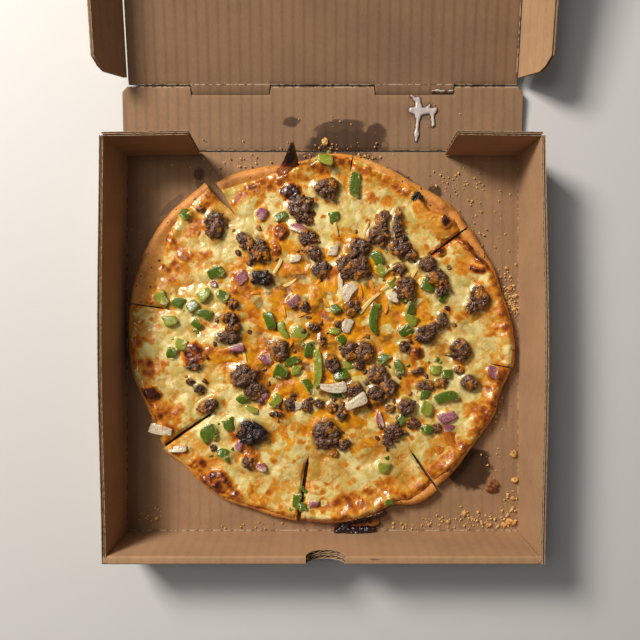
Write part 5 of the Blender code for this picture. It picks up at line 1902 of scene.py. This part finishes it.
    def build_chunks(self) -> None:
        """Makes the large crumbs on the board and one flake of browned cheese."""
        for name, body, lobes, colour, second in (
            ("golden_chunks", Body.TRAY, CHUNKS[:-2], (0.74, 0.42, 0.13), (0.44, 0.17, 0.035)),
            ("brown_flake", Body.TRAY, CHUNKS[-2:-1], (0.28, 0.085, 0.02), (0.12, 0.03, 0.01)),
            ("panel_chunk", Body.BACK_PANEL, CHUNKS[-1:], (0.72, 0.48, 0.14), (0.55, 0.22, 0.04)),
        ):
            patches = []
            for index, lobe in enumerate(lobes):
                foot = 3.4 if body is Body.TRAY else 4.2
                patch = self.crumble(lobe, 0.6 * lobe.width, foot, 900 + index, 14, 22)
                patch.layers = {}
                patches.append(patch)
            finish = PlainFinish(colour, second, 0.5, 2.2, 0.3).build(name + "_skin")
            make_piece(name, merged(patches), [finish], body, Slot.CRUST, (), 60.0)

    def build(self) -> None:
        """Makes every topping."""
        self.build_chunks()
        self.build_beef()
        self.build_greens()
        self.build_shreds()
        self.build_burnt()


@dataclass(frozen=True)
class Cluster:
    """A drift of crumbs: centre, spread each way and how many."""

    x: float
    y: float
    spread_x: float
    spread_y: float
    count: int
    size: float = 0.8


@dataclass
class Debris:
    """Crumbs on the board and a drip of sauce on the back panel."""

    floor: tuple[Cluster, ...] = (
        Cluster(20, 149, 26, 2.0, 120, 0.9), Cluster(-70, 145, 30, 7, 60, 0.9),
        Cluster(118, 100, 24, 34, 110, 0.9), Cluster(146, 38, 6, 12, 170, 1.1),
        Cluster(141, 20, 9, 40, 110, 0.9), Cluster(100, 130, 26, 8, 50, 1.0),
        Cluster(146, -128, 5, 12, 40, 1.3), Cluster(122, -135, 22, 7, 70, 1.1), Cluster(-135, -132, 9, 6, 22),
        Cluster(100, -138, 30, 4, 50, 1.0), Cluster(-60, -140, 50, 3, 24), Cluster(-146, 60, 4, 50, 18),
        Cluster(64, -141, 16, 2.5, 24, 1.0), Cluster(135, -70, 9, 40, 40, 0.9),
    )
    panel: tuple[Cluster, ...] = (
        Cluster(6, 157, 22, 2.5, 26, 0.9), Cluster(-60, 160, 40, 4, 14), Cluster(20, 172, 50, 12, 16, 0.7),
        Cluster(84, 182, 16, 10, 12, 0.6))
    sauce: tuple[tuple[tuple[float, float, float], ...], ...] = (
        ((69.1, 196.0, 0.9), (72.2, 193.2, 1.0), (74.2, 193.0, 2.0), (74.8, 188.0, 2.3), (74.8, 184.0, 3.4)),
        ((69.6, 185.0, 2.4), (74.8, 184.0, 3.0), (80.0, 184.3, 2.3), (86.8, 184.3, 2.3)),
        ((82.0, 186.5, 1.6), (83.5, 188.6, 0.8)),
        ((87.7, 185.4, 1.7), (86.8, 184.3, 1.6), (85.8, 182.4, 1.7), (86.1, 177.5, 1.3), (86.4, 173.8, 1.6)),
        ((74.8, 184.0, 3.0), (74.6, 180.4, 2.0), (74.1, 172.6, 1.4), (73.5, 166.1, 2.0), (73.2, 161.5, 0.7)),
        ((85.5, 199.6, 0.8), (89.0, 199.9, 1.0), (94.9, 199.6, 0.8)),
        ((98.5, 199.6, 0.8), (101.5, 199.6, 0.7)),
    )

    def grains(self, clusters: Sequence[Cluster], height: Callable[[Array], Array], seed: int) -> Patch:
        """Small uneven grains, each an octahedron with its corners moved, thrown round each centre."""
        draw = np.random.default_rng(seed)
        centres = np.concatenate([
            np.column_stack([
                draw.normal(c.x, c.spread_x * 0.6, c.count), draw.normal(c.y, c.spread_y * 0.6, c.count),
                c.size * (0.35 + 0.9 * draw.uniform(0, 1, c.count) ** 2),
            ]) for c in clusters])
        way = np.array([(1, 0, 0), (0, 1, 0), (-1, 0, 0), (0, -1, 0), (0, 0, 1), (0, 0, -1)], float)
        upper, lower = [(i, (i + 1) % 4, 4) for i in range(4)], [((i + 1) % 4, i, 5) for i in range(4)]
        faces = np.array(upper + lower)
        jitter = draw.uniform(0.6, 1.4, (len(centres), 6, 1))
        spin = draw.uniform(0, TAU, len(centres))[:, None]
        rotated = np.stack([way[:, 0] * np.cos(spin) - way[:, 1] * np.sin(spin),
                            way[:, 0] * np.sin(spin) + way[:, 1] * np.cos(spin),
                            np.broadcast_to(way[:, 2], (len(centres), 6))], axis=-1)
        points = rotated * jitter * centres[:, None, 2:3]
        points[..., :2] += centres[:, None, :2]
        points[..., 2] += (height(centres[:, 1]) + centres[:, 2] * 0.8)[:, None]
        rings = [((face + 6 * i).tolist(), 0) for i in range(len(centres)) for face in faces]
        return Patch(points.reshape(-1, 3), np.zeros((0, 4), int), rings)

    def drip(self, slope: float) -> tuple[Patch, Patch]:
        """The sauce, which rises like a quarter circle at its edge, and the stain round it."""
        x, y = np.meshgrid(np.arange(62.0, 106.0, 0.4), np.arange(156.5, 203.0, 0.4))
        flat = np.stack([x.ravel(), y.ravel()], axis=1)
        bent = flat + 0.5 * np.stack([fractal(flat, 4.0, 2, 5), fractal(flat, 4.0, 2, 6)], axis=1)
        inside = pooled(bent, self.sauce, 0.4)
        base = 3.0 + (y - 154.0) * slope
        made = []
        for depth, rim, grow in ((1.7, 1.9, 0.0), (0.12, 0.5, 0.9)):
            top = (depth * rounded((inside + grow) / rim)).reshape(x.shape)
            if not grow:
                top = top * (1.0 + 0.12 * fractal(flat, 5.0, 2, 9)).reshape(x.shape)
            front = np.stack([x, y, base + top], axis=-1)
            made.append(walled(front, np.stack([x, y, base - 0.1], axis=-1), filled(top, 0.04)))
        return made[0], made[1]

    def build(self) -> None:
        """Makes the crumbs and the sauce."""
        crumb = PlainFinish((0.78, 0.54, 0.24), (0.55, 0.29, 0.08), 0.6, 1.4, 0.2).build("golden_crumbs")
        make_piece("floor_crumbs", self.grains(self.floor, lambda y: np.full(len(y), 3.0), 12), [crumb],
                   Body.TRAY, Slot.CRUST, (), 20.0)
        slope = math.tan(math.radians(5.0))
        make_piece("panel_crumbs", self.grains(self.panel, lambda y: 3.0 + (y - 154.0) * slope, 14), [crumb],
                   Body.BACK_PANEL, Slot.CRUST, (), 20.0)
        sauce, stain = self.drip(slope)
        white = PlainFinish((0.58, 0.52, 0.50), (0.46, 0.40, 0.37), 0.22, 5.0, 0.1).build("white_sauce")
        brown = PlainFinish((0.10, 0.040, 0.015), (0.16, 0.075, 0.03), 0.6, 2.0, 0.05).build("sauce_stain")
        make_piece("sauce_drip", sauce, [white], Body.BACK_PANEL, Slot.CHEESE, (), 80.0)
        make_piece("sauce_edge", stain, [brown], Body.BACK_PANEL, Slot.BURNT, (), 80.0)


@dataclass
class Studio:
    """A pale floor, soft lights and the camera over the tray."""

    camera_height: float = 538.0
    camera_x: float = -2.0
    camera_y: float = 21.4
    focal_pixels: float = 682.0
    picture: float = 640.0

    def light(self, name: str, energy: float, size: float, azimuth: float, height: float,
              colour: Colour) -> None:
        """An area light 1.8 m from the middle of the tray, facing it.

        Args:
            name: the lamp's name.
            energy: its power in watts.
            size: its side in metres.
            azimuth: its direction seen from above, in degrees from +X.
            height: its angle over the table, in degrees.
            colour: its tint.
        """
        data = bpy.data.lights.new(name, "AREA")
        data.energy, data.size, data.color = energy, size, colour
        lamp = bpy.data.objects.new(name, data)
        turn, rise = math.radians(azimuth), math.radians(height)
        away = Vector((math.cos(rise) * math.cos(turn), math.cos(rise) * math.sin(turn), math.sin(rise)))
        lamp.location = Vector((0.0, 0.02, 0.0)) + 1.8 * away
        lamp.rotation_euler = (-away).to_track_quat("-Z", "Y").to_euler()
        bpy.context.scene.collection.objects.link(lamp)

    def build(self) -> None:
        """Sets the floor, lights, world and camera."""
        scene = bpy.context.scene
        mesh = bpy.data.meshes.new("studio_floor")
        corners = [(-4.0, -4.0, -0.0005), (4.0, -4.0, -0.0005), (4.0, 4.0, -0.0005), (-4.0, 4.0, -0.0005)]
        mesh.from_pydata(corners, [], [(0, 1, 2, 3)])
        mesh.materials.append(Graph("pale_floor").finish((0.62, 0.61, 0.60), 0.6))
        floor = bpy.data.objects.new("studio_floor", mesh)
        scene.collection.objects.link(floor)
        self.light("key", 39.5, 0.5, 138.0, 42.0, (1.0, 0.95, 0.87))
        self.light("overhead", 4.5, 0.6, 150.0, 66.0, (1.0, 0.96, 0.90))
        world = bpy.data.worlds.new("studio")
        world.use_nodes = True
        world.node_tree.nodes["Background"].inputs["Color"].default_value = (0.95, 0.96, 1.0, 1.0)
        world.node_tree.nodes["Background"].inputs["Strength"].default_value = 0.10
        scene.world = world
        scene.view_settings.view_transform = "Standard"
        data = bpy.data.cameras.new("from_above")
        data.sensor_width = 36.0
        data.lens = 36.0 * self.focal_pixels / self.picture
        data.clip_start, data.clip_end = 0.01, 20.0
        camera = bpy.data.objects.new("from_above", data)
        camera.location = (self.camera_x * MM, self.camera_y * MM, self.camera_height * MM)
        scene.collection.objects.link(camera)
        scene.camera = camera


def main() -> None:
    """Builds the box, the pizza, its toppings and the studio, in that order."""
    logging.basicConfig(level=logging.INFO, format="%(name)s %(message)s")
    Box().build()
    large = [lobe for lobes in BEEF for lobe in lobes]
    dice = SMALL_PEPPER + SMALL_PURPLE + SMALL_CREAM
    small = [Lobe(die.x, die.y, die.length, die.width, die.turn, 0.4) for die in dice]
    strips = [Lobe(s.x, s.y, s.length, s.width, s.turn, 0.3) for s in PEPPERS + ONIONS]
    pizza = PizzaShape(toppings=large + list(SMALL_BEEF) + small + strips)
    pizza.build()
    Toppings(pizza).build()
    Debris().build()
    Studio().build()


if __name__ == "__main__":
    main()
